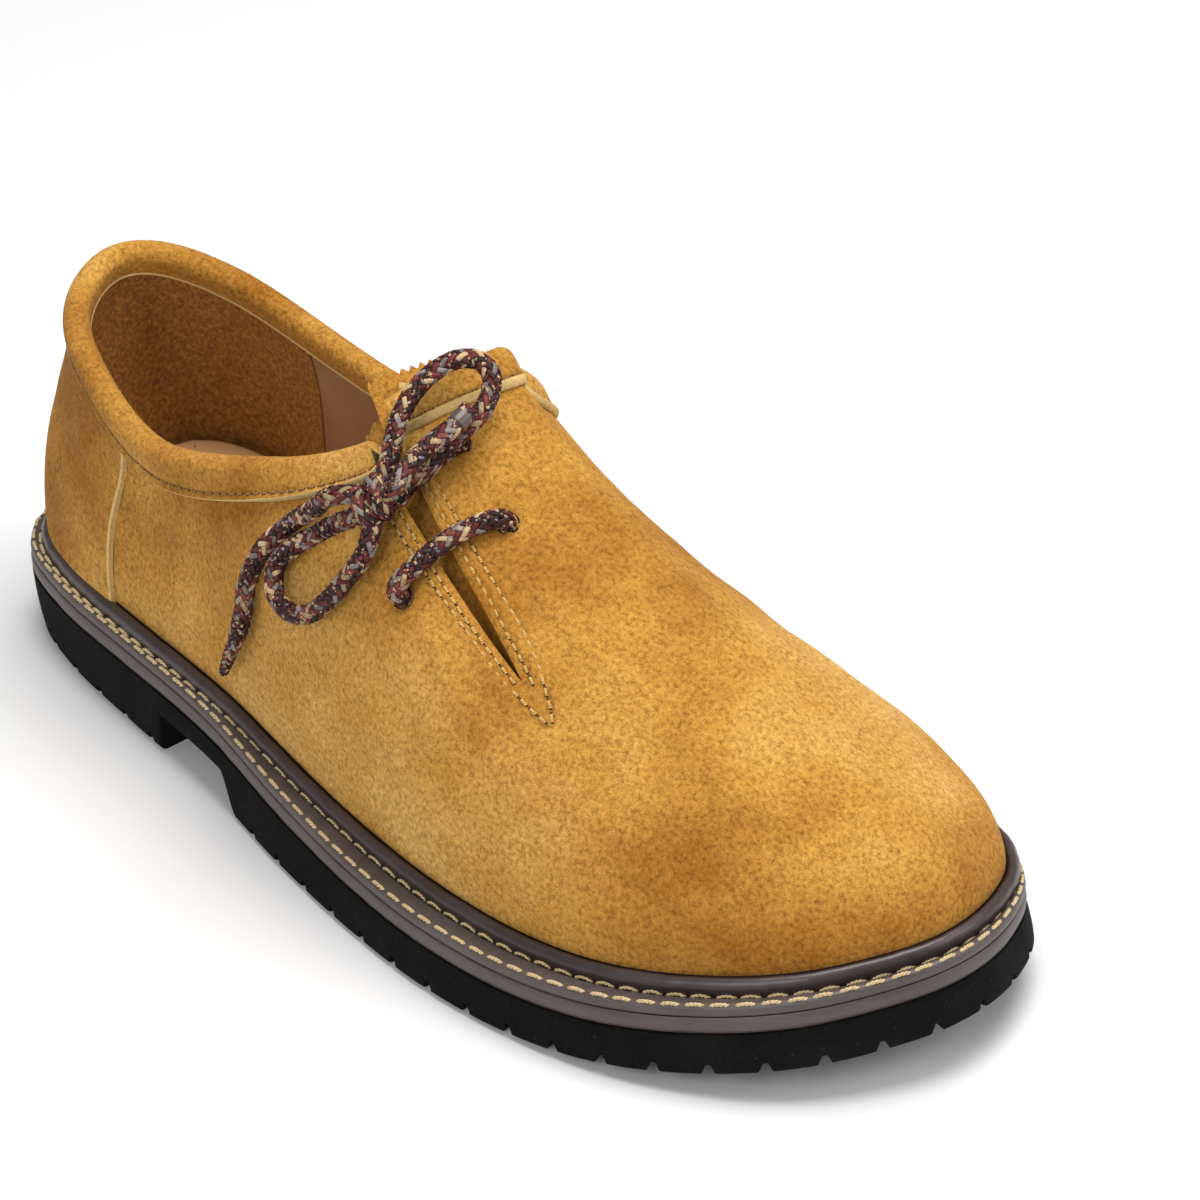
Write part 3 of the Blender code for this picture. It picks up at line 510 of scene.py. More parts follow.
rubber, tree, shader, where = new_finish("black_rubber", (0.006, 0.006, 0.006), 0.8)
shader.inputs["Specular IOR Level"].default_value = 0.07
specks = cloud(tree, where, 2600.0, 2.0, 0.6)
dust = cloud(tree, where, 60.0, 4.0, 0.6)
dull = shades(tree, dust, ((0.35, (0.0035, 0.0035, 0.0033)), (0.72, (0.009, 0.0085, 0.008))))
speck_mask = shades(tree, specks, ((0.70, (0.0, 0.0, 0.0)), (0.78, (1.0, 1.0, 1.0))))
tree.links.new(blended(tree, speck_mask, dull, (0.16, 0.15, 0.14)), shader.inputs["Base Color"])
relief(tree, shader, cloud(tree, where, 620.0, 6.0, 0.7), 0.00070)

sole_ways = even_ways(720)
sole_along = edge_points(sole_ways)[:, 0]
sole_low = ground(sole_along)
sole_top = outsole_top(sole_along)
sole_loops = [lifted(loop(sole_ways, tread_inset(sole_along) + 0.0004), sole_low),
              lifted(loop(sole_ways, tread_inset(sole_along) - 0.0004), sole_low + 0.0004),
              lifted(loop(sole_ways, tread_inset(sole_along) - TREAD_BEVEL), sole_low + TREAD_BEVEL)]
for share in (0.2, 0.4, 0.6, 0.8, 0.93, 0.98, 1.0):
    inset = (tread_inset(sole_along) - TREAD_BEVEL) * (1 - share) + (0.0004 if share == 1.0 else 0.0)
    swell = 0.0003 * math.sin(math.pi * share)
    rise = sole_low + TREAD_BEVEL + (sole_top - sole_low - TREAD_BEVEL) * share
    sole_loops.append(lifted(loop(sole_ways, inset - swell + soft_pits(sole_ways, 0.00008)), rise))
sole_points, sole_faces = slab(sole_loops)
outsole = new_piece("rubber_outsole", sole_points, sole_faces, [rubber], smooth=False)

fine_ways = even_ways(2000)
tread_edge = loop(fine_ways, tread_inset(edge_points(fine_ways)[:, 0]))
tread_run = run_of(np.concatenate([tread_edge, tread_edge[:1]]))
tread_angle = np.concatenate([smooth_angle(fine_ways), [2 * np.pi]])
notch_count = round(tread_run[-1] / NOTCH_PITCH)
notches = bmesh.new()
for k in range(notch_count):
    notch_way = way_of_angle(np.interp(tread_run[-1] * (k + 0.5) / notch_count, tread_run, tread_angle))
    notch_x = float(edge_points(notch_way)[0])
    if BREAST_AT - NOTCH_WIDTH < notch_x < TREAD_START + WAIST_RAMP + NOTCH_WIDTH:
        continue
    spot = loop(np.array([notch_way]), tread_inset(notch_x))[0]
    out = edge_normals(np.array([notch_way]))[0]
    along = np.array([-out[1], out[0]])
    floor_height = float(ground(np.array(notch_x)))
    corners = []
    for reach, size in ((-NOTCH_DEPTH, 0.7), (NOTCH_DEPTH, 1.0)):
        plan = spot + out * reach
        for step, height in ((-0.62, -0.001), (0.62, -0.001),
                             (0.12, NOTCH_HEIGHT), (-0.12, NOTCH_HEIGHT)):
            place = plan + along * NOTCH_WIDTH * step
            level = floor_height + height * size
            corners.append(notches.verts.new((place[0] - HEEL_CENTRE, place[1], level)))
    for ring in ((3, 2, 1, 0), (4, 5, 6, 7), (0, 1, 5, 4), (1, 2, 6, 5), (2, 3, 7, 6), (3, 0, 4, 7)):
        notches.faces.new([corners[i] for i in ring])
bmesh.ops.recalc_face_normals(notches, faces=notches.faces[:])
notch_mesh = bpy.data.meshes.new("lug_notches")
notches.to_mesh(notch_mesh)
notches.free()
notch_cutter = bpy.data.objects.new("lug_notches", notch_mesh)
bpy.context.scene.collection.objects.link(notch_cutter)
notching = outsole.modifiers.new("notching", "BOOLEAN")
notching.solver = "EXACT"
notching.object = notch_cutter


def apply_modifiers(piece):
    """Keep the shape that the modifiers give, and none of the modifiers."""
    shown = piece.evaluated_get(bpy.context.evaluated_depsgraph_get())
    mesh = bpy.data.meshes.new_from_object(shown)
    old = piece.data
    piece.modifiers.clear()
    piece.data = mesh
    bpy.data.meshes.remove(old)


apply_modifiers(outsole)
bpy.data.objects.remove(notch_cutter, do_unlink=True)
outsole.data.shade_smooth()
outsole.data.set_sharp_from_angle(angle=math.radians(32))
dress(outsole, "outsole_rubber", "outsole")

# Midsole. A taupe layer of dense rubber, cut with the outsole and sanded, so that its edge shows
# fine lengthwise streaks. It lies between the outsole and the welt.
MIDSOLE = 0.0042
CLEAR = 0.0003
taupe, tree, shader, where = new_finish("taupe_midsole", (0.115, 0.088, 0.085), 0.45)
streaks = cloud(tree, stretched(tree, where, (60.0, 60.0, 3600.0)), 1.0, 4.0, 0.65)
taupe_shade = shades(tree, streaks, ((0.30, (0.060, 0.044, 0.039)), (0.55, (0.082, 0.060, 0.054)),
                                     (0.80, (0.110, 0.084, 0.076))))
grime = shades(tree, cloud(tree, where, 45.0, 3.0), ((0.40, (1.0, 1.0, 1.0)), (0.75, (0.72, 0.70, 0.69))))
tree.links.new(blended(tree, 1.0, taupe_shade, grime, "MULTIPLY"), shader.inputs["Base Color"])
relief(tree, shader, streaks, 0.00005)
midsole_loops = []
midsole_low = outsole_top(sole_along) - CLEAR / 2
for inset, share in ((0.0011, 0.0), (0.0004, 0.08), (0.0, 0.3),
                     (-0.0001, 0.6), (0.0001, 0.95), (0.0003, 1.0)):
    midsole_loops.append(lifted(loop(sole_ways, inset + soft_pits(sole_ways + 0.3, 0.00006)),
                                midsole_low + (MIDSOLE + CLEAR) * share))
midsole_points, midsole_faces = slab(midsole_loops)
midsole = new_piece("midsole_layer", midsole_points, midsole_faces, [taupe])
midsole.data.set_sharp_from_angle(angle=math.radians(50))
dress(midsole, "midsole_layer", "midsole")


def midsole_top(x):
    return outsole_top(x) + CLEAR + MIDSOLE


# Upper. Golden-brown suede, lasted over the foot form and slit over the instep on the outer side. Its raw
# edges show pale. Its nap is mottled and rubbed paler in places. Painted shade darkens it over the heel
# counter and the toe's front, and it is darker towards the bottom along the welt.
INSTEP = 0.112
SUEDE = 0.002
FACE_SUEDE = 0.0013
SLIT_END_WAY = 0.847
SLIT_TOP_WAY = 0.797
SLIT_LENGTH_SHARE = 0.405
SLIT_GAPE = 0.0042
SLIT_MOUTH = 0.004
SUEDE_DARK = (0.300, 0.115, 0.013)
SUEDE_MIDDLE = (0.480, 0.235, 0.042)
SUEDE_LIGHT = (0.610, 0.350, 0.096)
CUT_EDGE = (0.58, 0.39, 0.15)
# way, inset, wall_out, wall_up, collar_x, collar_y, collar_z, crown_run, crown_out, crown_drop
UPPER = (
    (0.000, 0.070, 0.015, 0.30, 0.030, 0.020, 0.785, 0.05, 0.040, 0.17),
    (0.108, 0.050, 0.020, 0.29, 0.105, -0.220, 0.730, 0.00, -0.015, 0.19),
    (0.300, 0.055, 0.040, 0.24, 0.260, -0.300, 0.665, 0.00, -0.015, 0.20),
    (0.450, 0.075, 0.045, 0.24, 0.385, -0.270, 0.770, 0.25, 0.075, 0.14),
    (0.620, 0.085, 0.045, 0.26, 0.465, -0.205, 0.870, 0.51, 0.075, 0.15),
    (0.820, 0.080, 0.065, 0.29, 0.465, -0.160, 0.930, 0.47, 0.025, 0.23),
    (1.000, 0.070, 0.105, 0.29, 0.500, 0.070, 1.010, 0.42, -0.010, 0.36),
    (1.160, 0.045, 0.080, 0.25, 0.475, 0.150, 0.925, 0.42, -0.010, 0.42),
    (1.340, 0.075, 0.035, 0.20, 0.470, 0.230, 0.835, 0.33, 0.035, 0.25),
    (1.530, 0.085, 0.040, 0.22, 0.405, 0.245, 0.725, 0.19, 0.050, 0.20),
    (1.700, 0.080, 0.040, 0.22, 0.305, 0.250, 0.655, 0.00, 0.045, 0.19),
    (1.892, 0.070, 0.030, 0.24, 0.105, 0.210, 0.730, 0.01, 0.045, 0.18),
)
# Stitch rows beside the slit: rise, and the way across from the slit's middle in millimetres
SLIT_ROWS = {
    "inner_far": ((0.530, 0.6), (0.555, 2.6), (0.620, 6.2), (0.675, 7.5), (0.810, 6.8), (0.955, 5.8)),
    "inner_near": ((0.590, 2.2), (0.620, 3.0), (0.725, 4.2), (0.850, 4.1), (0.955, 3.7)),
    "outer_near": ((0.590, -1.8), (0.630, -2.9), (0.700, -4.0), (0.775, -4.2), (0.930, -4.1)),
    "outer_far": ((0.530, -0.6), (0.555, -2.4), (0.600, -4.6), (0.745, -6.4), (0.845, -6.9),
                  (0.930, -6.6)),
}
# How deep under its own side a soft form fades out, so that it doesn't press the other side too
FORM_DEPTH = 0.03
# Soft troughs and ridges: way, rise, half lengths along and up in millimetres, height, slant
SOFT_FORMS = (
    (0.800, 0.500, 26.0, 5.0, -0.0007, -0.10), (0.930, 0.500, 20.0, 4.5, -0.0006, 0.12),
    (0.680, 0.620, 7.0, 18.0, -0.0007, 0.30), (0.560, 0.800, 6.0, 16.0, -0.0008, 0.35),
    (0.500, 0.600, 22.0, 5.0, -0.0006, 0.25), (0.420, 0.420, 20.0, 5.0, -0.0005, 0.20),
    (0.300, 0.550, 16.0, 6.0, -0.0005, 0.05), (0.620, 0.420, 22.0, 7.0, 0.0006, 0.15),
    (1.060, 0.620, 18.0, 6.0, -0.0006, 0.00), (1.250, 0.600, 18.0, 6.0, -0.0006, 0.20),
    (1.450, 0.550, 20.0, 6.0, -0.0006, -0.15), (1.620, 0.500, 18.0, 6.0, -0.0005, 0.10),
)
# Places paler (over 0) or darker (under 0): way, rise, half lengths along and up, amount. The pale ones
# are rubbed nap. The dark ones over the heel counter, just in front of it and at the toe's front are
# painted shade. The dark ones low along the welt make the suede darker towards the bottom, and the one on
# the inner quarter is a darker patch.
WEAR_AND_SHADE_SPOTS = (
    (1.030, 0.295, 11.0, 9.0, 0.9), (0.997, 0.130, 34.0, 9.0, -0.7), (0.945, 0.080, 30.0, 8.0, -0.5),
    (0.968, 0.510, 10.0, 22.0, -0.35), (0.738, 0.650, 12.0, 20.0, 0.45), (0.760, 0.395, 16.0, 14.0, 0.5),
    (0.595, 0.375, 26.0, 14.0, 0.35), (0.505, 0.700, 18.0, 12.0, 0.25), (0.300, 0.385, 20.0, 30.0, -0.35),
    (0.962, 0.615, 8.0, 16.0, 0.25), (0.975, 0.805, 14.0, 14.0, 0.1), (1.002, 0.590, 16.0, 26.0, -0.3),
    (0.060, 0.500, 42.0, 45.0, -0.55), (0.787, 0.120, 40.0, 8.0, -0.35), (0.400, 0.120, 60.0, 9.0, 0.3),
    (1.500, 0.400, 60.0, 20.0, -0.2),
)
LACE_HOLES = {
    "inner_lower": (0.820, 0.0165),
    "outer_lower": (0.715, -0.0174),
    "inner_upper": (0.930, 0.0147),
    "outer_upper": (0.860, -0.0134),
}
HOLE = 0.0056
HOLE_SIDES = 40


def upper_columns(way):
    table = np.array(UPPER)
    at = np.mod(smooth_angle(way), 2 * np.pi)
    return through(smooth_angle(table[:, 0]), table[:, 1:], at, period=2 * np.pi).T


def surface(way, rise, out=0.0):
    """Points of the upper's outer face. rise is 0 at the welt and 1 at the top line, and out moves
    the point off the face along its normal."""
    way, rise, out = np.broadcast_arrays(*(np.asarray(value, float) for value in (way, rise, out)))
    shape = way.shape
    way = way.ravel()
    rise = rise.ravel()

    def face(way, rise):
        (inset, wall_out, wall_up, collar_x, collar_y, collar_z,
         crown_run, crown_out, crown_drop) = upper_columns(way)
        foot = loop(way, inset * BALL_WIDTH)
        foot = lifted(foot, midsole_top(foot[:, 0]) + CLEAR)
        out_dir = lifted(edge_normals(way), 0)
        up = np.array([0.0, 0.0, 1.0])
        top = np.stack([collar_x * SOLE_LENGTH, collar_y * BALL_WIDTH, collar_z * INSTEP], axis=1)
        level = (foot - top) * np.array([1.0, 1.0, 0.0])
        wall = foot + out_dir * (wall_out * BALL_WIDTH)[:, None] + up * (wall_up * INSTEP)[:, None]
        crown = (top + level * crown_run[:, None] + out_dir * (crown_out * BALL_WIDTH)[:, None]
                 - up * (crown_drop * INSTEP)[:, None])
        t = rise[:, None]
        return (1 - t)**3 * foot + 3 * (1 - t)**2 * t * wall + 3 * (1 - t) * t**2 * crown + t**3 * top

    small = 0.01
    angle = smooth_angle(way)
    along = face(way_of_angle(angle + small), rise) - face(way_of_angle(angle - small), rise)
    upward = face(way, rise + small) - face(way, rise - small)
    points = face(way, rise) + unit(np.cross(along, upward)) * out.reshape(-1, 1)
    return points.reshape(shape + (3,))


def rise_at_height(way, height):
    """Rise at which the upper's face stands this high above its foot."""
    steps = np.linspace(0, 0.5, 26)
    grid = surface(way[:, None], steps[None, :])
    above = grid[:, :, 2] - grid[:, :1, 2]
    return np.array([np.interp(height, row, steps) for row in above])


def rise_below_top(way, length):
    """Rise that lies this far below the top line, along the face."""
    steps = np.linspace(1, 0.4, 31)
    grid = surface(way[:, None], steps[None, :])
    run = np.cumsum(np.linalg.norm(np.diff(grid, axis=1), axis=2), axis=1)
    run = np.concatenate([np.zeros((len(way), 1)), run], axis=1)
    return np.array([np.interp(length, row, steps) for row in run])


def slit_share(rise):
    return (rise - 1 + SLIT_LENGTH_SHARE) / SLIT_LENGTH_SHARE


def slit_half(rise):
    """Half the slit's opening at a rise: it gapes along its length and spreads at the mouth."""
    share = np.clip(slit_share(rise), 0, 1.2)
    return (SLIT_GAPE * (1 - (1 - np.minimum(share, 1))**5) + SLIT_MOUTH * share**6) / 2


def across_slit(rise, across):
    """Way round of the line that runs this far across from the slit's middle, at a rise."""
    rise, across = np.broadcast_arrays(np.asarray(rise, float), np.asarray(across, float))
    ways = np.linspace(0.3, 1.45, 58)
    result = np.empty(rise.shape)
    for index in np.ndindex(rise.shape):
        run = run_of(surface(ways, np.full(len(ways), rise[index])))
        middle_way = SLIT_END_WAY + (SLIT_TOP_WAY - SLIT_END_WAY) * slit_share(rise[index])
        middle = np.interp(middle_way, ways, run)
        result[index] = np.interp(middle + across[index], run, ways)
    return result


def suede_finish(name, lighter=0.0, worn_and_shaded=False):
    """Suede: broad and fine mottling of its three shades, with a short nap and a faint sheen. With
    worn_and_shaded set, the upper's map of rubbed pale places and darker places, partly painted shade,
    shifts the colour."""
    made, tree, shader, where = new_finish(name, SUEDE_MIDDLE, 0.95)
    broad = cloud(tree, where, 17.0, 4.0, 0.6)
    fine = cloud(tree, where, 900.0, 4.0, 0.7)
    nap = cloud(tree, where, 3200.0, 2.0, 0.6)
    shade = broad
    if worn_and_shaded:
        wear_and_shade_node = tree.nodes.new("ShaderNodeAttribute")
        wear_and_shade_node.attribute_name = "wear_and_shade"
        shift = tree.nodes.new("ShaderNodeMath")
        shift.operation = "MULTIPLY_ADD"
        shift.inputs[1].default_value = 0.16
        tree.links.new(wear_and_shade_node.outputs["Fac"], shift.inputs[0])
        tree.links.new(broad, shift.inputs[2])
        shade = shift.outputs["Value"]
    patches = shades(tree, shade, ((0.30, SUEDE_DARK), (0.50 - lighter, SUEDE_MIDDLE),
                                   (0.72 - lighter, SUEDE_LIGHT)))
    mottle = shades(tree, fine, ((0.30, (0.52, 0.45, 0.36)), (0.50, (1.0, 1.0, 1.0)),
                                 (0.70, (1.32, 1.42, 1.62))))
    grain = shades(tree, nap, ((0.28, (0.84, 0.80, 0.74)), (0.70, (1.12, 1.13, 1.15))))
    colour = blended(tree, 1.0, blended(tree, 1.0, patches, mottle, "MULTIPLY"), grain, "MULTIPLY")
    tree.links.new(colour, shader.inputs["Base Color"])
    soft = relief(tree, shader, fine, 0.0006)
    relief(tree, shader, nap, 0.00012, soft)
    shader.inputs["Sheen Weight"].default_value = 0.10
    shader.inputs["Sheen Roughness"].default_value = 0.5
    shader.inputs["Sheen Tint"].default_value = (1.0, 0.80, 0.45, 1.0)
    shader.inputs["Specular IOR Level"].default_value = 0.08
    return made


def raw_finish(name, colour):
    """Fibrous cut edge of the suede."""
    made, tree, shader, where = new_finish(name, colour, 0.95)
    fibres = cloud(tree, where, 1500.0, 4.0, 0.7)
    tone = shades(tree, fibres, ((0.28, tuple(0.62 * c for c in colour)), (0.50, colour),
                                 (0.75, tuple(min(1.0, 1.12 * c) for c in colour))))
    tree.links.new(tone, shader.inputs["Base Color"])
    relief(tree, shader, fibres, 0.00025)
    return made


suede = suede_finish("golden_suede", worn_and_shaded=True)
# Lace hole walls: dark brown, painted shade for the shadow in the holes.
hole_wall_painted_shade = raw_finish("hole_wall_shadow_finish", (0.16, 0.075, 0.022))
raw_edge = raw_finish("raw_suede_edge", CUT_EDGE)
# The raw rim of the slit's lips and the top line is darker than the other cut edges: painted shade for the
# shadow on the lips.
lip_edge_painted_shade = raw_finish("painted_shade_raw_edge", (0.45, 0.25, 0.07))

slit_end = 1 - SLIT_LENGTH_SHARE
# The columns of each sheet are spaced along this row, which crosses the slit's lower half
SPACING_ROW = 75
upper_rises = np.concatenate([np.linspace(0, slit_end, 56), np.linspace(slit_end, 1, 52)[1:]])
lip_halves = np.where(upper_rises > slit_end, slit_half(upper_rises), 0.0)
inner_lips = smooth_angle(across_slit(upper_rises, lip_halves))
outer_lips = smooth_angle(across_slit(upper_rises, -lip_halves)) + 2 * np.pi


def round_from_slit(close, far, near_reach):
    """Shares of the way round from the slit back to it, close together beside the slit."""
    angles = np.linspace(inner_lips[SPACING_ROW], outer_lips[SPACING_ROW], 3001)
    run = run_of(surface(way_of_angle(angles), upper_rises[SPACING_ROW]))
    beside = np.minimum(run, run[-1] - run)
    step = close + (far - close) * np.clip((beside - near_reach) / near_reach, 0, 1)
    count = np.concatenate([[0.0], np.cumsum(np.diff(run) / step[1:])])
    return np.interp(np.linspace(0, count[-1], round(count[-1]) + 1), count, np.linspace(0, 1, 3001))


def upper_grid(shares, rises, inner, outer):
    """Ways and rises of a sheet that runs round the shoe from one lip of the slit to the other."""
    angles = inner[:, None] + (outer - inner)[:, None] * shares[None, :]
    return way_of_angle(angles), np.broadcast_to(rises[:, None], angles.shape)


def grid_faces(rows, columns):
    i, j = np.meshgrid(np.arange(rows - 1), np.arange(columns - 1), indexing="ij")
    corner = (i * columns + j).ravel()
    quads = np.stack([corner, corner + 1, corner + columns + 1, corner + columns], axis=1)
    return [tuple(quad) for quad in quads.tolist()]


def back_faces(faces, count):
    """The same faces on a sheet's back, whose points follow the face's own, turned inside out."""
    return [tuple(count + corner for corner in reversed(face)) for face in faces]


def rim_faces(rows, columns):
    """Faces that join a sheet's face to its back, all the way round its edge."""
    rim = [(0, j) for j in range(columns)]
    rim += [(i, columns - 1) for i in range(1, rows)]
    rim += [(rows - 1, j) for j in range(columns - 2, -1, -1)]
    rim += [(i, 0) for i in range(rows - 2, 0, -1)]
    corners = [i * columns + j for i, j in rim]
    count = rows * columns
    return [(b, a, a + count, b + count) for a, b in zip(corners, corners[1:] + corners[:1])]


def spot_frame(way, rise):
    """A point of the upper's face, with the directions round the shoe and upwards there."""
    spot = surface(way, rise)
    ahead = unit(surface(way_of_angle(smooth_angle(way) + 0.02), rise) - spot)
    upward = unit(surface(way, rise + 0.01) - spot)
    return spot, ahead, upward


upper_shares = round_from_slit(0.0006, 0.00145, 0.020)
grid_way, grid_rise = upper_grid(upper_shares, upper_rises, inner_lips, outer_lips)
flat_face = surface(grid_way, grid_rise)
steps_across = np.linalg.norm(np.diff(flat_face, axis=1), axis=2)
from_inner = np.concatenate([np.zeros((len(upper_rises), 1)), np.cumsum(steps_across, axis=1)], axis=1)
from_outer = from_inner[:, -1:] - from_inner
on_inner = from_inner < from_outer
across = np.where(on_inner, from_inner, -from_outer) + np.where(on_inner, 1, -1) * lip_halves[:, None]
to_lip = np.minimum(from_inner, from_outer)
beside_slit = 1 / (1 + np.exp((slit_end - 0.01 - grid_rise) / 0.006))
swell = -0.00055 * np.exp(-(to_lip / 0.0008)**2) * beside_slit
swell += 0.0006 * np.exp(-((np.abs(across) - 0.0052) / 0.0022)**2) * beside_slit
for row in SLIT_ROWS.values():
    row = np.array(row)
    line = np.interp(grid_rise, row[:, 0], row[:, 1] / 1000)
    in_row = (grid_rise > row[0, 0]) & (grid_rise < row[-1, 0])
    swell -= 0.0005 * np.exp(-((across - line) / 0.0006)**2) * in_row
for way, rise, long_way, long_rise, height, slant in SOFT_FORMS:
    spot, ahead, upward = spot_frame(way, rise)
    outward = unit(np.cross(ahead, upward))
    offset = flat_face - spot
    a = offset @ ahead
    b = offset @ upward
    a, b = a + b * slant, b - a * slant
    swell += height * np.exp(-(a / (long_way / 1000))**2 - (b / (long_rise / 1000))**2
                             - (offset @ outward / FORM_DEPTH)**2)
wander = smooth_angle(grid_way)
swell += 0.00016 * (np.sin(9 * wander + 14 * grid_rise) + np.sin(17 * wander - 23 * grid_rise + 1.0)
                    + np.sin(31 * wander + 19 * grid_rise + 2.0)) * np.sin(np.pi * grid_rise)
upper_face = surface(grid_way, grid_rise, swell)

# Round holes for the lace, pressed in a little by it. Their walls take a dark brown finish, painted shade
# for the shadow inside the holes.
rows, columns = grid_way.shape
kept = np.ones((rows - 1, columns - 1), bool)
hole_tubes = []
for rise, way_across in LACE_HOLES.values():
    hole_way = across_slit(rise, way_across)
    centre = surface(hole_way, rise)
    normal = unit(surface(hole_way, rise, 0.001) - centre)
    offset = upper_face - centre
    height = offset @ normal
    flat = offset - height[..., None] * normal
    reach = np.linalg.norm(flat, axis=2)
    close = (reach < HOLE) & (np.abs(height) < 0.006)
    pulled = close & (np.abs(reach - HOLE / 2) < 0.00062)
    pull = np.where(pulled, HOLE / 2 / np.maximum(reach, 1e-6), 1.0)
    sink = 0.0006 * np.exp(-((reach - HOLE / 2) / 0.0010)**2) * close
    upper_face = upper_face + flat * (pull - 1)[..., None] - normal * sink[..., None]
    inside = close & (reach * pull < HOLE / 2 + 0.00003)
    kept &= ~(inside[:-1, :-1] & inside[1:, :-1] & inside[:-1, 1:] & inside[1:, 1:])
    side = unit(np.cross(normal, (1.0, 0.0, 0.3)))
    lift = np.cross(normal, side)
    ring = np.linspace(0, 2 * np.pi, HOLE_SIDES + 1)[:-1]
    circle = side * np.cos(ring)[:, None] + lift * np.sin(ring)[:, None]
    for radius, depth in ((0.00275, 0.0002), (0.00275, -0.0009), (0.0026, -0.0019)):
        hole_tubes.append(centre + circle * radius + normal * (depth - 0.0005))

upper_points = [upper_face.reshape(-1, 3)]
upper_faces = [face for face, keep in zip(grid_faces(rows, columns), kept.ravel()) if keep]
upper_kinds = [0] * len(upper_faces)
# The rim round the slit and the top line takes the darker edge finish, which is painted shade.
lip_row = int(np.searchsorted(upper_rises, slit_end))
rim = [(row, 0) for row in range(lip_row, rows)]
rim += [(rows - 1, column) for column in range(1, columns)]
rim += [(row, columns - 1) for row in range(rows - 2, lip_row - 1, -1)]
rim_ways = np.array([grid_way[spot] for spot in rim])
rim_rises = np.array([grid_rise[spot] for spot in rim])
first = rows * columns
upper_points.append(surface(rim_ways, rim_rises, -FACE_SUEDE))
for k in range(len(rim) - 1):
    a = rim[k][0] * columns + rim[k][1]
    b = rim[k + 1][0] * columns + rim[k + 1][1]
    upper_faces.append((a, b, first + k + 1, first + k))
    upper_kinds.append(1)
first += len(rim)
upper_points.append(np.concatenate(hole_tubes))
for k in range(len(LACE_HOLES)):
    for level in range(2):
        low = first + (3 * k + level) * HOLE_SIDES
        high = low + HOLE_SIDES
        for step in range(HOLE_SIDES):
            follow = (step + 1) % HOLE_SIDES
            upper_faces.append((low + step, low + follow, high + follow, high + step))
            upper_kinds.append(2)
upper = new_piece("suede_upper", np.concatenate(upper_points), upper_faces,
                  [suede, lip_edge_painted_shade, hole_wall_painted_shade], upper_kinds)


def set_wear_and_shade(piece):
    """Write the map of rubbed pale places and darker places, partly painted shade, onto a piece that lies
    on the upper.
    """
    mesh = piece.data
    places = np.empty(len(mesh.vertices) * 3)
    mesh.vertices.foreach_get("co", places)
    places = places.reshape(-1, 3) + np.array([HEEL_CENTRE, 0.0, 0.0])
    amount = np.zeros(len(places))
    for way, rise, long_way, long_rise, strength in WEAR_AND_SHADE_SPOTS:
        spot, ahead, upward = spot_frame(way, rise)
        offset = places - spot
        apart = (offset @ ahead / (long_way / 1000))**2 + (offset @ upward / (long_rise / 1000))**2
        amount += strength * np.exp(-apart)
    layer = mesh.attributes.new("wear_and_shade", "FLOAT", "POINT")
    layer.data.foreach_set("value", amount)


set_wear_and_shade(upper)
shape = bmesh.new()
shape.from_mesh(upper.data)
bmesh.ops.remove_doubles(shape, verts=shape.verts[:], dist=0.00002)
shape.to_mesh(upper.data)
shape.free()
upper.data.set_sharp_from_angle(angle=math.radians(48))
dress(upper, "suede", "upper")

# Lining. Smooth brown leather glued inside the upper, with suede at the heel so that the foot doesn't slip
# out. A closed seam joins the two below the inner ankle. The heel suede's colour is darkened as painted
# shade for the shadow deep in the heel.
LINING_SEAM_WAY = 1.824
NEAR_SEAM_WAY = 0.35
lining_leather, tree, shader, where = new_finish("lining_leather", (0.30, 0.155, 0.075), 0.62)
pores = cloud(tree, where, 900.0, 4.0, 0.7)
cast = cloud(tree, where, 30.0, 3.0)
smooth_shade = shades(tree, cast, ((0.35, (0.22, 0.110, 0.052)), (0.70, (0.33, 0.18, 0.095))))
# Heel suede: its own golden brown, darkened further as painted shade for the shadow deep in the heel.
heel_suede_and_painted_shade = shades(tree, pores, ((0.30, (0.10, 0.035, 0.004)), (0.50, (0.25, 0.105, 0.015)),
                                   (0.70, (0.42, 0.21, 0.042))))
heel_part = tree.nodes.new("ShaderNodeAttribute")
heel_part.attribute_name = "heel"
heel_mask = shades(tree, heel_part.outputs["Fac"], ((0.495, (0.0, 0.0, 0.0)), (0.505, (1.0, 1.0, 1.0))))
seam_shade = shades(tree, heel_part.outputs["Fac"], (
    (0.485, (1.0, 1.0, 1.0)), (0.493, (0.25, 0.22, 0.20)),
    (0.507, (0.35, 0.30, 0.26)), (0.515, (1.0, 1.0, 1.0))))
lining_shade = blended(tree, heel_mask, smooth_shade, heel_suede_and_painted_shade)
lining_shade = blended(tree, 1.0, lining_shade, seam_shade, "MULTIPLY")
tree.links.new(lining_shade, shader.inputs["Base Color"])
relief(tree, shader, pores, 0.00012)
lining_rises = np.linspace(0.0, 0.992, 60)
lining_halves = np.where(lining_rises > slit_end, slit_half(lining_rises) + 0.0004, 0.0)
lining_inner = smooth_angle(across_slit(lining_rises, lining_halves))
lining_outer = smooth_angle(across_slit(lining_rises, -lining_halves)) + 2 * np.pi
lining_shares = round_from_slit(0.0014, 0.0028, 0.012)
lining_way, lining_rise = upper_grid(lining_shares, lining_rises, lining_inner, lining_outer)
lining_waves = 0.00025 * np.sin(21 * smooth_angle(lining_way) + 9 * lining_rise)
lining_face = surface(lining_way, lining_rise, -FACE_SUEDE - 0.0002)
lining_back = surface(lining_way, lining_rise, -0.0021 + lining_waves)
lining_rows, lining_columns = lining_way.shape
lining_faces = grid_faces(lining_rows, lining_columns)
to_seam = np.where(lining_way > 1, lining_way - LINING_SEAM_WAY, NEAR_SEAM_WAY - lining_way)
heel_values = np.tile(np.clip(0.5 + 10 * to_seam, 0, 1).ravel(), 2)
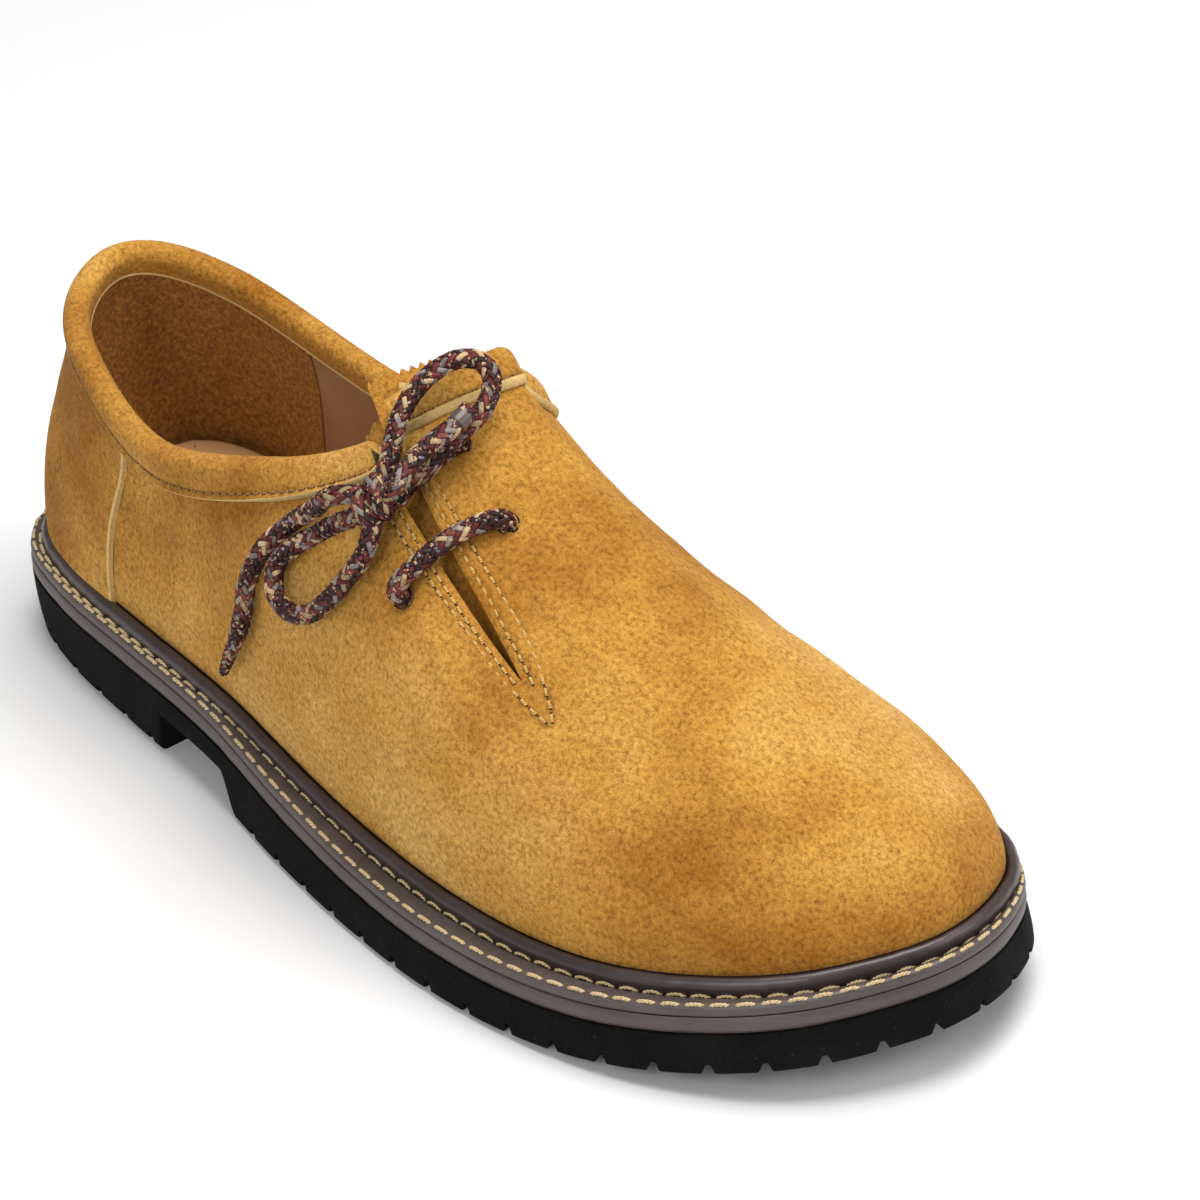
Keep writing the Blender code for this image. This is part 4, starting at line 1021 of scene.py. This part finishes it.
count = lining_rows * lining_columns
lining_faces += back_faces(lining_faces, count)
lining = new_piece("shoe_lining", np.concatenate([lining_face.reshape(-1, 3), lining_back.reshape(-1, 3)]),
                   lining_faces, [lining_leather])
layer = lining.data.attributes.new("heel", "FLOAT", "POINT")
layer.data.foreach_set("value", heel_values)
dress(lining, "suede")

# Slit stitching. Each side of the slit has two rows of short golden stitches, sewn by hand through
# dark awl holes, and the two outer rows meet in a point below the slit.
SLIT_STITCH_PITCH = 0.0030
SLIT_STITCH_LENGTH = 0.0021
SLIT_THREAD = 0.00075
SLIT_THREAD_ARCH = 0.00025
NEEDLE_HOLE = 0.00033
gold_thread, tree, shader, where = new_finish("golden_thread", (0.50, 0.29, 0.07), 0.55)
twist = cloud(tree, where, 3000.0, 2.0)
tree.links.new(shades(tree, twist, ((0.30, (0.36, 0.20, 0.04)), (0.70, (0.62, 0.40, 0.12)))),
               shader.inputs["Base Color"])
relief(tree, shader, twist, 0.00006)
needle_hole, tree, shader, where = new_finish("needle_hole_shadow", (0.030, 0.012, 0.004), 0.9)
relief(tree, shader, cloud(tree, where, 2000.0), 0.0001)


def stitch_mesh(starts, stops, normals, thick, arch, plies=2, twists=2.0):
    """Points and faces of stitches that rise out of their starts, lie along, and dive at their stops."""
    t = np.linspace(0, 1, 13)
    ring = np.linspace(0, 2 * np.pi, 7)[:-1]
    reach = stops - starts
    side = unit(np.cross(reach, normals))
    rise = np.sin(np.pi * np.clip(t * 1.06 - 0.03, 0, 1))**0.45 * (arch + 0.8 * thick) - 0.8 * thick
    middle = (starts[:, None, :] + reach[:, None, :] * t[None, :, None]
              + normals[:, None, :] * rise[None, :, None])
    points = []
    faces = []
    first = 0
    ply_radius = thick / 2 if plies == 1 else 0.30 * thick
    for ply in range(plies):
        angle = 2 * np.pi * (twists * t + ply / plies)
        swing = 0.0 if plies == 1 else 0.24 * thick
        line = middle + swing * (side[:, None, :] * np.cos(angle)[None, :, None]
                                 + normals[:, None, :] * np.sin(angle)[None, :, None])
        ahead = unit(np.gradient(line, axis=1))
        wide = unit(np.cross(ahead, np.broadcast_to(normals[:, None, :], ahead.shape)))
        high = np.cross(wide, ahead)
        section = (line[:, :, None, :] + ply_radius * (
            wide[:, :, None, :] * np.cos(ring)[None, None, :, None]
            + high[:, :, None, :] * np.sin(ring)[None, None, :, None]))
        points.append(section.reshape(-1, 3))
        for _ in range(len(starts)):
            faces += tube_faces(len(t), 6, first)
            first += len(t) * 6
    return np.concatenate(points), faces


def bead_mesh(centres, normals, radius, flat):
    """Points and faces of small flattened beads, which show as the dark mouths of needle holes."""
    ring = np.linspace(0, 2 * np.pi, 11)[:-1]
    side = unit(np.cross(normals, (0.3, 0.2, 1.0)))
    lift = np.cross(normals, side)
    circle = (side[:, None, :] * np.cos(ring)[None, :, None]
              + lift[:, None, :] * np.sin(ring)[None, :, None])
    rows = [centres[:, None, :] + circle * radius * size + normals[:, None, :] * radius * flat * height
            for size, height in ((1.0, -0.6), (1.0, 0.2), (0.55, 0.75))]
    points = np.stack(rows, axis=1).reshape(-1, 3)
    faces = []
    for bead in range(len(centres)):
        faces += tube_faces(3, 10, bead * 30)
    return points, faces


def joined(name, parts, finishes):
    """One piece from several lists of points and faces, each with its own finish."""
    points = []
    faces = []
    kinds = []
    first = 0
    for kind, (part_points, part_faces) in parts:
        points.append(part_points)
        faces += [tuple(first + corner for corner in face) for face in part_faces]
        kinds += [kind] * len(part_faces)
        first += len(part_points)
    return new_piece(name, np.concatenate(points), faces, finishes, kinds)


def face_line(ways, rises, out):
    """Points on the upper along a line of ways and rises, with the face's normals."""
    base = surface(ways, rises)
    normals = unit(surface(ways, rises, 0.001) - base)
    return base + normals * out, normals


def stitched_line(points, normals, pitch, length, wobble=0.0):
    """Starts, stops and normals of stitches set at a pitch along a line."""
    run = run_of(points)
    count = int(run[-1] / pitch)
    at = (np.arange(count) + 0.5) * pitch + chance.normal(0, wobble, count)

    def read(values, where_at):
        return np.stack([np.interp(where_at, run, values[:, axis]) for axis in range(3)], axis=1)

    return read(points, at - length / 2), read(points, at + length / 2), unit(read(normals, at))


slit_parts = []
for row in SLIT_ROWS.values():
    row = np.array(row)
    line_rises = np.linspace(row[0, 0], row[-1, 0], 40)
    line_ways = across_slit(line_rises, np.interp(line_rises, row[:, 0], row[:, 1] / 1000))
    line, normals = face_line(line_ways, line_rises, -0.0001)
    starts, stops, ups = stitched_line(line, normals, SLIT_STITCH_PITCH, SLIT_STITCH_LENGTH, 0.00012)
    slit_parts.append((0, stitch_mesh(starts, stops, ups, SLIT_THREAD, SLIT_THREAD_ARCH)))
    holes = np.concatenate([starts, stops])
    slit_parts.append((1, bead_mesh(holes, np.concatenate([ups, ups]), NEEDLE_HOLE, 0.45)))
slit_stitches = joined("slit_stitches", slit_parts, [gold_thread, needle_hole])
dress(slit_stitches, "lace_braid")

# Lace bars. The same lace crosses the slit twice, from hole to hole: the lower bar slants and rises
# to its inner hole, and the upper bar runs straight under the bow's knot.
BAR_ARCH = 0.0008
BAR_SLACK = 0.027
BAR_BEND = 0.0029


def bar_route(first, second, slack, lift):
    """Points of a bar: up through its first hole, over the slit, and down into the second."""
    start = np.array(LACE_HOLES[first])
    stop = np.array(LACE_HOLES[second])
    ends = [surface(across_slit(rise, across), rise) for rise, across in (start, stop)]
    length = np.linalg.norm(ends[1] - ends[0])
    rising = [(0.0, -0.8 * SUEDE), (0.0, 0.0)]
    rising += [(BAR_BEND * (1 - math.cos(a)) / length, BAR_BEND * math.sin(a))
               for a in np.radians([30, 60, 90])]
    level = [(share, BAR_BEND) for share in np.linspace(BAR_BEND / length, 1 - BAR_BEND / length, 6)[1:-1]]
    falling = [(1 - share, out) for share, out in reversed(rising)]
    points = []
    for share, out in rising + level + falling:
        rise, across = start + (stop - start) * share
        arch = 4 * share * (1 - share)
        rise += slack * arch
        points.append(surface(across_slit(rise, across), rise, out + lift * arch))
    return points


lower_bar, _ = braid("lower_lace_bar", bar_route("outer_lower", "inner_lower", BAR_SLACK, BAR_ARCH))
dress(lower_bar, "lace_braid", "lace_bar_lower")
upper_bar, _ = braid("upper_lace_bar", bar_route("outer_upper", "inner_upper", 0.0, 0.0))
dress(upper_bar, "lace_braid", "lace_bar_upper")

# Counter. A heel panel of the same suede, skived at the heel's back and laid over both quarters. Its
# upright front edges are left raw.
COUNTER = 0.0015
COUNTER_FOOT = 0.0534
COUNTER_TOP = 0.0652
BEAD_HEIGHT = 0.0062
FLANGE = 0.0062
counter_reach = COUNTER_TOP / SOLE_LENGTH
counter_half = smooth_angle(counter_reach)
counter_angle = counter_half * np.concatenate([[-1.0], np.linspace(-0.994, 0.994, 169), [1.0]])
counter_turn = np.sign(counter_angle) * turn_to_along(counter_angle)
counter_shares = np.linspace(0, 1, 56)[:, None]
counter_narrow = (COUNTER_FOOT + (COUNTER_TOP - COUNTER_FOOT) * counter_shares**1.7) / COUNTER_TOP
counter_way = np.mod(counter_turn * counter_narrow, 2)
counter_low = rise_at_height(counter_way[0], BEAD_HEIGHT * 0.8)
counter_high = rise_below_top(counter_way[-1], FLANGE - 0.001)
counter_rise = counter_low + (counter_high - counter_low) * counter_shares
counter_rows, counter_columns = counter_way.shape
edge_distance = np.minimum(np.arange(counter_columns), np.arange(counter_columns)[::-1])[None, :]
counter_swell = (0.0002 * np.sin(11 * smooth_angle(counter_way) + 9 * counter_rise)
                 - 0.0004 * np.exp(-(edge_distance / 0.8)**2)
                 - 0.0006 * np.exp(-((counter_rise - 0.52) / 0.05)**2)
                 * np.exp(-((counter_turn[None, :] - 0.10) / 0.06)**2))
counter_face = surface(counter_way, counter_rise, CLEAR + COUNTER + counter_swell)
counter_back = surface(counter_way, counter_rise, 0.0001)
counter_faces = grid_faces(counter_rows, counter_columns)
counter_kinds = np.zeros((counter_rows - 1, counter_columns - 1), int)
counter_kinds[:, [0, -1]] = 1
counter_kinds = counter_kinds.ravel().tolist()
counter_rim = rim_faces(counter_rows, counter_columns)
counter_kinds += [1] * len(counter_rim)
counter = new_piece("heel_counter", np.stack([counter_face, counter_back]).reshape(-1, 3),
                    counter_faces + counter_rim, [suede, raw_edge], counter_kinds)
counter.data.set_sharp_from_angle(angle=math.radians(50))
# The counter takes the same map, which darkens it with painted shade.
set_wear_and_shade(counter)
dress(counter, "suede", "counter")

# Collar binding. A suede strip folded over a cord at the top line and sewn down. Its two raw edges
# show as pale lines, with a row of dark stitches above the outer one.
BINDING = 0.0014
BINDING_CLEAR = 0.0002
LINING_FLANGE = 0.0032
COLLAR_BEAD = 0.0066
COLLAR_SECTIONS = 361
COLLAR_STITCH_PITCH = 0.0031
COLLAR_STITCH_LENGTH = 0.0019
COLLAR_THREAD = 0.0006
COLLAR_THREAD_ARCH = 0.0002
COLLAR_NEEDLE_HOLE = 0.00026
binding_suede = suede_finish("binding_suede", 0.02)
dark_thread, tree, shader, where = new_finish("brown_thread", (0.26, 0.125, 0.030), 0.6)
relief(tree, shader, cloud(tree, where, 2600.0), 0.00006)
collar_half = float(slit_half(1.0)) + 0.0004
collar_start = float(smooth_angle(across_slit(1.0, collar_half)))
collar_stop = float(smooth_angle(across_slit(1.0, -collar_half))) + 2 * np.pi
collar_fine = np.linspace(collar_start, collar_stop, 2000)
collar_run = run_of(surface(way_of_angle(collar_fine), 1.0))
collar_at = np.linspace(0, collar_run[-1], COLLAR_SECTIONS)
collar_ways = way_of_angle(np.interp(collar_at, collar_run, collar_fine))
ragged = 0.00018 * np.sin(collar_at * 900) + 0.00022 * np.sin(collar_at * 410 + 1.0)
hem = rise_below_top(collar_ways, FLANGE)
half_way = rise_below_top(collar_ways, 0.5 * FLANGE)
seam_rise = 0.5 * (hem + half_way) + 0.004
lining_hem = rise_below_top(collar_ways, LINING_FLANGE)
top = surface(collar_ways, 1.0)
level = surface(collar_ways, 1.0, 1.0) - top
up = np.cross(level, np.gradient(top, axis=0))
up = unit(up) * np.sign(up[:, 2:3])
middle = top - level * (SUEDE / 2)
pucker = 0.00016 * np.sin(collar_at * 2 * np.pi / COLLAR_STITCH_PITCH)


def over(angle, radius):
    """Points on the round of the collar's bead, at an angle from its outer side."""
    angle = math.radians(angle)
    return middle + radius * (level * math.cos(angle) + up * (math.sin(angle) + 0.35))


bead = COLLAR_BEAD / 2
profile = [
    surface(collar_ways, hem + ragged, BINDING_CLEAR),
    surface(collar_ways, hem + ragged, BINDING_CLEAR + 0.35 * BINDING),
    surface(collar_ways, hem + ragged + 0.002, BINDING_CLEAR + 0.75 * BINDING),
    surface(collar_ways, hem + 0.008, BINDING_CLEAR + BINDING + 0.0003),
    surface(collar_ways, seam_rise, BINDING_CLEAR + 0.6 * BINDING + pucker),
    surface(collar_ways, half_way, BINDING_CLEAR + BINDING),
    over(-8, bead), over(20, bead), over(50, bead), over(80, bead), over(105, bead), over(130, bead),
    over(158, bead), over(186, bead),
    surface(collar_ways, 0.5 * (1 + lining_hem) - 0.004, -SUEDE - BINDING - 0.0006),
    surface(collar_ways, lining_hem + 0.011, -SUEDE - BINDING - 0.0005),
    surface(collar_ways, lining_hem, -SUEDE - BINDING - 0.0006),
    surface(collar_ways, lining_hem, -SUEDE - 0.0004),
    middle - level * 0.0013 + up * 0.001,
    middle + level * 0.0012 + up * 0.001,
]
profile = np.stack(profile, axis=1)
knots = np.arange(profile.shape[1], dtype=float)
fine_knots = np.concatenate([[0.0, 0.5, 1.0, 1.5], np.arange(2, 16, 0.34), [16.0, 16.5, 17.0, 18.0, 19.0]])
sections = through(knots, np.swapaxes(profile, 0, 1), fine_knots)
sections = np.swapaxes(sections, 0, 1)
collar_rows, collar_sides = sections.shape[:2]
collar_faces = tube_faces(collar_rows, collar_sides)
knot_middle = (fine_knots + np.roll(fine_knots, -1)) / 2
raw_side = (knot_middle < 2.95) | ((knot_middle > 14.8) & (knot_middle < 17.5))
collar_kinds = np.tile(raw_side, collar_rows - 1).astype(int).tolist() + [1, 1]
collar = new_piece("collar_binding", sections.reshape(-1, 3), collar_faces, [binding_suede, raw_edge],
                   collar_kinds)
collar.data.set_sharp_from_angle(angle=math.radians(60))
dress(collar, "suede_binding", "collar")
seam_line, seam_normals = face_line(collar_ways, seam_rise, BINDING_CLEAR + 0.7 * BINDING)
starts, stops, ups = stitched_line(seam_line, seam_normals, COLLAR_STITCH_PITCH,
                                   COLLAR_STITCH_LENGTH, 0.00008)
holes = np.concatenate([starts, stops])
collar_stitches = joined("collar_stitches", [
    (0, stitch_mesh(starts, stops, ups, COLLAR_THREAD, COLLAR_THREAD_ARCH)),
    (1, bead_mesh(holes, np.concatenate([ups, ups]), COLLAR_NEEDLE_HOLE, 0.5))],
    [dark_thread, needle_hole])
dress(collar_stitches, "suede_binding")

# Tongue. A soft suede flap under the slit, sewn in below it, with a pinked edge that stands over the
# top line and a rubbed, fuzzy face.
TONGUE = 0.0017
TONGUE_OUTER = 0.0115
TONGUE_INNER = 0.030
TONGUE_ROOM = 0.0012
TONGUE_TEETH = 19
TOOTH = 0.0016
STAND_OUTER = 0.015
STAND_INNER = 0.008
tongue_suede = suede_finish("tongue_suede", -0.02)
tongue_columns = 91
tongue_share = np.linspace(0, 1, tongue_columns)
coarse_share = np.linspace(0, 1, 24)
tongue_across = -TONGUE_OUTER + (TONGUE_OUTER + TONGUE_INNER) * tongue_share
tongue_rises = np.linspace(1 - SLIT_LENGTH_SHARE - 0.03, 1.0, 28)
gap_in = SUEDE + 2 * CLEAR + BINDING + TONGUE_ROOM
tongue_face = []
tongue_back = []
for k, rise in enumerate(tongue_rises):
    narrow = 0.62 + 0.38 * k / (len(tongue_rises) - 1)
    coarse_across = np.interp(coarse_share, tongue_share, tongue_across) * narrow
    way = np.interp(tongue_share, coarse_share, across_slit(np.full(24, rise), coarse_across))
    sag = 0.0004 * np.sin(3 * np.pi * tongue_share + 5 * rise)
    tongue_face.append(surface(way, np.full(tongue_columns, rise), -gap_in + sag))
    tongue_back.append(surface(way, np.full(tongue_columns, rise), -gap_in - TONGUE + sag))
stand = (STAND_OUTER + (STAND_INNER - STAND_OUTER) * tongue_share) * (1 - 0.35 * (2 * tongue_share - 1)**6)
tooth_wave = np.abs(((tongue_share * TONGUE_TEETH) % 1.0) * 2 - 1) - 0.5
lead = unit(tongue_face[-1] - tongue_face[-4])
bend_over = unit(surface(way, 1.0, 0.001) - surface(way, 1.0))
top_face = tongue_face[-1]
top_back = tongue_back[-1]
for height in np.linspace(0.09, 1.0, 11):
    reach = (stand * height + TOOTH * tooth_wave * np.clip((height - 0.8) / 0.2, 0, 1))[:, None]
    curl = 0.0009 * height**2 * np.sin(2.3 * np.pi * tongue_share)[:, None]
    tongue_face.append(top_face + lead * reach + bend_over * curl)
    tongue_back.append(top_back + lead * reach + bend_over * curl)
tongue_face = np.array(tongue_face)
tongue_back = np.array(tongue_back)
tongue_rows = len(tongue_face)
tongue_faces = grid_faces(tongue_rows, tongue_columns)
count = tongue_rows * tongue_columns
tongue_faces += back_faces(tongue_faces, count)
tongue_rim = rim_faces(tongue_rows, tongue_columns)
tongue_kinds = [0] * len(tongue_faces) + [1] * len(tongue_rim)
tongue = new_piece("tongue_flap", np.stack([tongue_face, tongue_back]).reshape(-1, 3),
                   tongue_faces + tongue_rim, [tongue_suede, raw_edge], tongue_kinds)
tongue.data.set_sharp_from_angle(angle=math.radians(50))
dress(tongue, "suede", "tongue")

# Insole. A tan leather sock glued over the foot bed, polished by wear, its tan painted brighter as painted
# light on the foot bed. A soft pad under it lifts the heel.
INSOLE = 0.003
HEEL_PAD = 0.0085
HEEL_PAD_FRONT = 0.150
HEEL_PAD_SLOPE = 0.050
sock, tree, shader, where = new_finish("tan_sock_leather", (0.42, 0.20, 0.09), 0.5)
sock_cast = cloud(tree, where, 34.0, 4.0)
sock_grain = cloud(tree, where, 1100.0, 4.0)
# Painted light: the sock's ramp is brighter than its own tan, for the light that falls on the foot bed.
tree.links.new(shades(tree, sock_cast, ((0.35, (0.74, 0.43, 0.18)), (0.70, (0.86, 0.54, 0.25)))),
               shader.inputs["Base Color"])
relief(tree, shader, sock_grain, 0.0001)
sock_ways = even_ways(320)
sock_inset = upper_columns(sock_ways)[0] * BALL_WIDTH + SUEDE + 0.0007
sock_loops = []
for extra, height in ((0.0, 0.0), (0.0, 0.0022), (0.0006, 0.0029),
                      (0.002, 0.003), (0.006, 0.0028), (0.012, 0.0025)):
    plan = loop(sock_ways, sock_inset + extra)
    heel_share = np.clip((HEEL_PAD_FRONT - plan[:, 0]) / HEEL_PAD_SLOPE, 0, 1)
    pad = HEEL_PAD * (3 * heel_share**2 - 2 * heel_share**3) * height / INSOLE
    sock_loops.append(lifted(plan, midsole_top(plan[:, 0]) + CLEAR + height + pad))
sock_points, sock_faces = slab(sock_loops)
insole = new_piece("insole_sock", sock_points, sock_faces, [sock])
dress(insole, "insole_leather", "insole")

# Welt. A dark brown, glossy strip with a rounded storm bead pressed against the upper's foot. Two
# rows of thick golden thread hold it: one beside the bead and one on the ledge's outer edge.
WELT_LEDGE = 0.0026
BEAD_WIDTH = 0.0036
BEAD_SPREAD = -0.0003
WELT_SET_IN = 0.0002
WELT_STITCH_PITCH = 0.00566
WELT_STITCH_LENGTH = 0.0046
WELT_THREAD = 0.00095
WELT_THREAD_ARCH = 0.0003
welt_leather, tree, shader, where = new_finish("glossy_dark_welt", (0.045, 0.026, 0.024), 0.42)
welt_cast = cloud(tree, where, 55.0, 4.0)
welt_scuff = cloud(tree, where, 420.0, 4.0, 0.65)
welt_shade = shades(tree, welt_cast, ((0.35, (0.024, 0.014, 0.013)), (0.70, (0.042, 0.026, 0.024))))
scuff = shades(tree, welt_scuff, ((0.60, (1.0, 1.0, 1.0)), (0.75, (1.4, 1.35, 1.3))))
tree.links.new(blended(tree, 1.0, welt_shade, scuff, "MULTIPLY"), shader.inputs["Base Color"])
relief(tree, shader, welt_scuff, 0.00010)
shader.inputs["Coat Weight"].default_value = 0.18
shader.inputs["Coat Roughness"].default_value = 0.25
welt_ways = even_ways(560)
welt_edge = loop(welt_ways, WELT_SET_IN)
welt_low = midsole_top(welt_edge[:, 0]) + CLEAR / 2
foot = surface(welt_ways, rise_at_height(welt_ways, 0.0), 0.0001)
waist = surface(welt_ways, rise_at_height(welt_ways, 0.5 * BEAD_HEIGHT), 0.0001)
crest = surface(welt_ways, rise_at_height(welt_ways, BEAD_HEIGHT), 0.0001)
out_dir = lifted(edge_normals(welt_ways), 0)
floor_height = midsole_top(foot[:, 0]) + CLEAR
foot[:, 2] = floor_height
upright = np.array([0.0, 0.0, 1.0])
bead_foot = foot + out_dir * (BEAD_WIDTH + BEAD_SPREAD)
bead_foot[:, 2] = floor_height + WELT_LEDGE
wave = soft_pits(welt_ways, 0.00012)[:, None]
arc = []
for angle in (-20, 0, 20, 40, 60, 80, 100, 120, 145, 165):
    a = math.radians(angle)
    arc.append(crest + out_dir * BEAD_WIDTH * (0.42 + 0.44 * math.cos(a))
               + upright * BEAD_HEIGHT * (0.36 * math.sin(a) - 0.30) + out_dir * wave)
edges = [lifted(loop(welt_ways, WELT_SET_IN + inset), welt_low + height) for inset, height in (
    (0.0002, 0.0), (0.0, 0.0002), (-0.0001, 0.0012), (0.0001, WELT_LEDGE - 0.0004),
    (0.0006, WELT_LEDGE), (0.0013, WELT_LEDGE + 0.0001))]
inward = [edges[-1] + (bead_foot - edges[-1]) * share - upright * drop
          for share, drop in ((0.35, 0.0), (0.7, 0.0001), (0.92, 0.0004))]
welt_sections = np.stack([foot] + edges + inward + arc + [crest, waist], axis=1)
welt_rows, welt_sides = welt_sections.shape[:2]
welt_faces = []
welt_kinds = []
for row in range(welt_rows):
    after = (row + 1) % welt_rows
    for k in range(welt_sides):
        follow = (k + 1) % welt_sides
        welt_kinds.append(1 if 1 <= k <= len(edges) + 1 else 0)
        welt_faces.append((row * welt_sides + k, row * welt_sides + follow,
                           after * welt_sides + follow, after * welt_sides + k))
welt = new_piece("storm_welt", welt_sections.reshape(-1, 3), welt_faces, [welt_leather, taupe],
                 welt_kinds)
welt.data.set_sharp_from_angle(angle=math.radians(55))
dress(welt, "welt_strip", "welt")

welt_thread, tree, shader, where = new_finish("welt_thread", (0.62, 0.45, 0.20), 0.5)
strand = cloud(tree, where, 2600.0, 3.0)
tree.links.new(shades(tree, strand, ((0.28, (0.30, 0.20, 0.08)), (0.52, (0.52, 0.39, 0.20)),
                                     (0.78, (0.66, 0.54, 0.33)))), shader.inputs["Base Color"])
relief(tree, shader, strand, 0.00008)
row_parts = []
for line, tilt in ((bead_foot + out_dir * 0.0005 + upright * 0.0001, 0.2),
                   (edges[-2] - out_dir * 0.0001, 0.5)):
    closed = np.concatenate([line, line[:1]])
    ups = unit(np.concatenate([upright + out_dir * tilt, (upright + out_dir * tilt)[:1]]))
    starts, stops, normals = stitched_line(closed, ups, WELT_STITCH_PITCH, WELT_STITCH_LENGTH, 0.0001)
    row_parts.append((0, stitch_mesh(starts, stops, normals, WELT_THREAD, WELT_THREAD_ARCH, 2, 2.5)))
welt_stitches = joined("welt_stitches", row_parts, [welt_thread])
dress(welt_stitches, "welt_strip")

# Floor and light. A plain white table in a light tent: broad soft lamps from above, from the front and
# from the right, and an even pale surround.
floor_paint, tree, shader, where = new_finish("pale_floor", (0.71, 0.71, 0.71), 0.9)
floor_mesh = bpy.data.meshes.new("pale_floor")
floor_mesh.from_pydata([(-6, -6, 0), (6, -6, 0), (6, 6, 0), (-6, 6, 0)], [], [(0, 1, 2, 3)])
floor_mesh.materials.append(floor_paint)
floor = bpy.data.objects.new("pale_floor", floor_mesh)
bpy.context.scene.collection.objects.link(floor)
surround = bpy.data.worlds.new("pale_surround")
surround.use_nodes = True
surround.node_tree.nodes["Background"].inputs["Color"].default_value = (1.0, 1.0, 1.0, 1.0)
surround.node_tree.nodes["Background"].inputs["Strength"].default_value = 0.32
bpy.context.scene.world = surround
bpy.context.scene.view_settings.view_transform = "Standard"
for name, place, size, power in (
        ("top_lamp", (0.20, 0.20, 1.3), 0.9, 20.0),
        ("front_lamp", (0.6, -1.1, 0.8), 0.8, 9.0),
        ("right_lamp", (1.1, 0.7, 0.7), 0.8, 6.0)):
    lamp = bpy.data.lights.new(name, "AREA")
    lamp.shape = "SQUARE"
    lamp.size = size
    lamp.energy = power
    holder = bpy.data.objects.new(name, lamp)
    bpy.context.scene.collection.objects.link(holder)
    holder.location = place
    aim = Vector((0.1, 0.0, 0.03)) - Vector(place)
    holder.rotation_euler = aim.to_track_quat("-Z", "Y").to_euler()
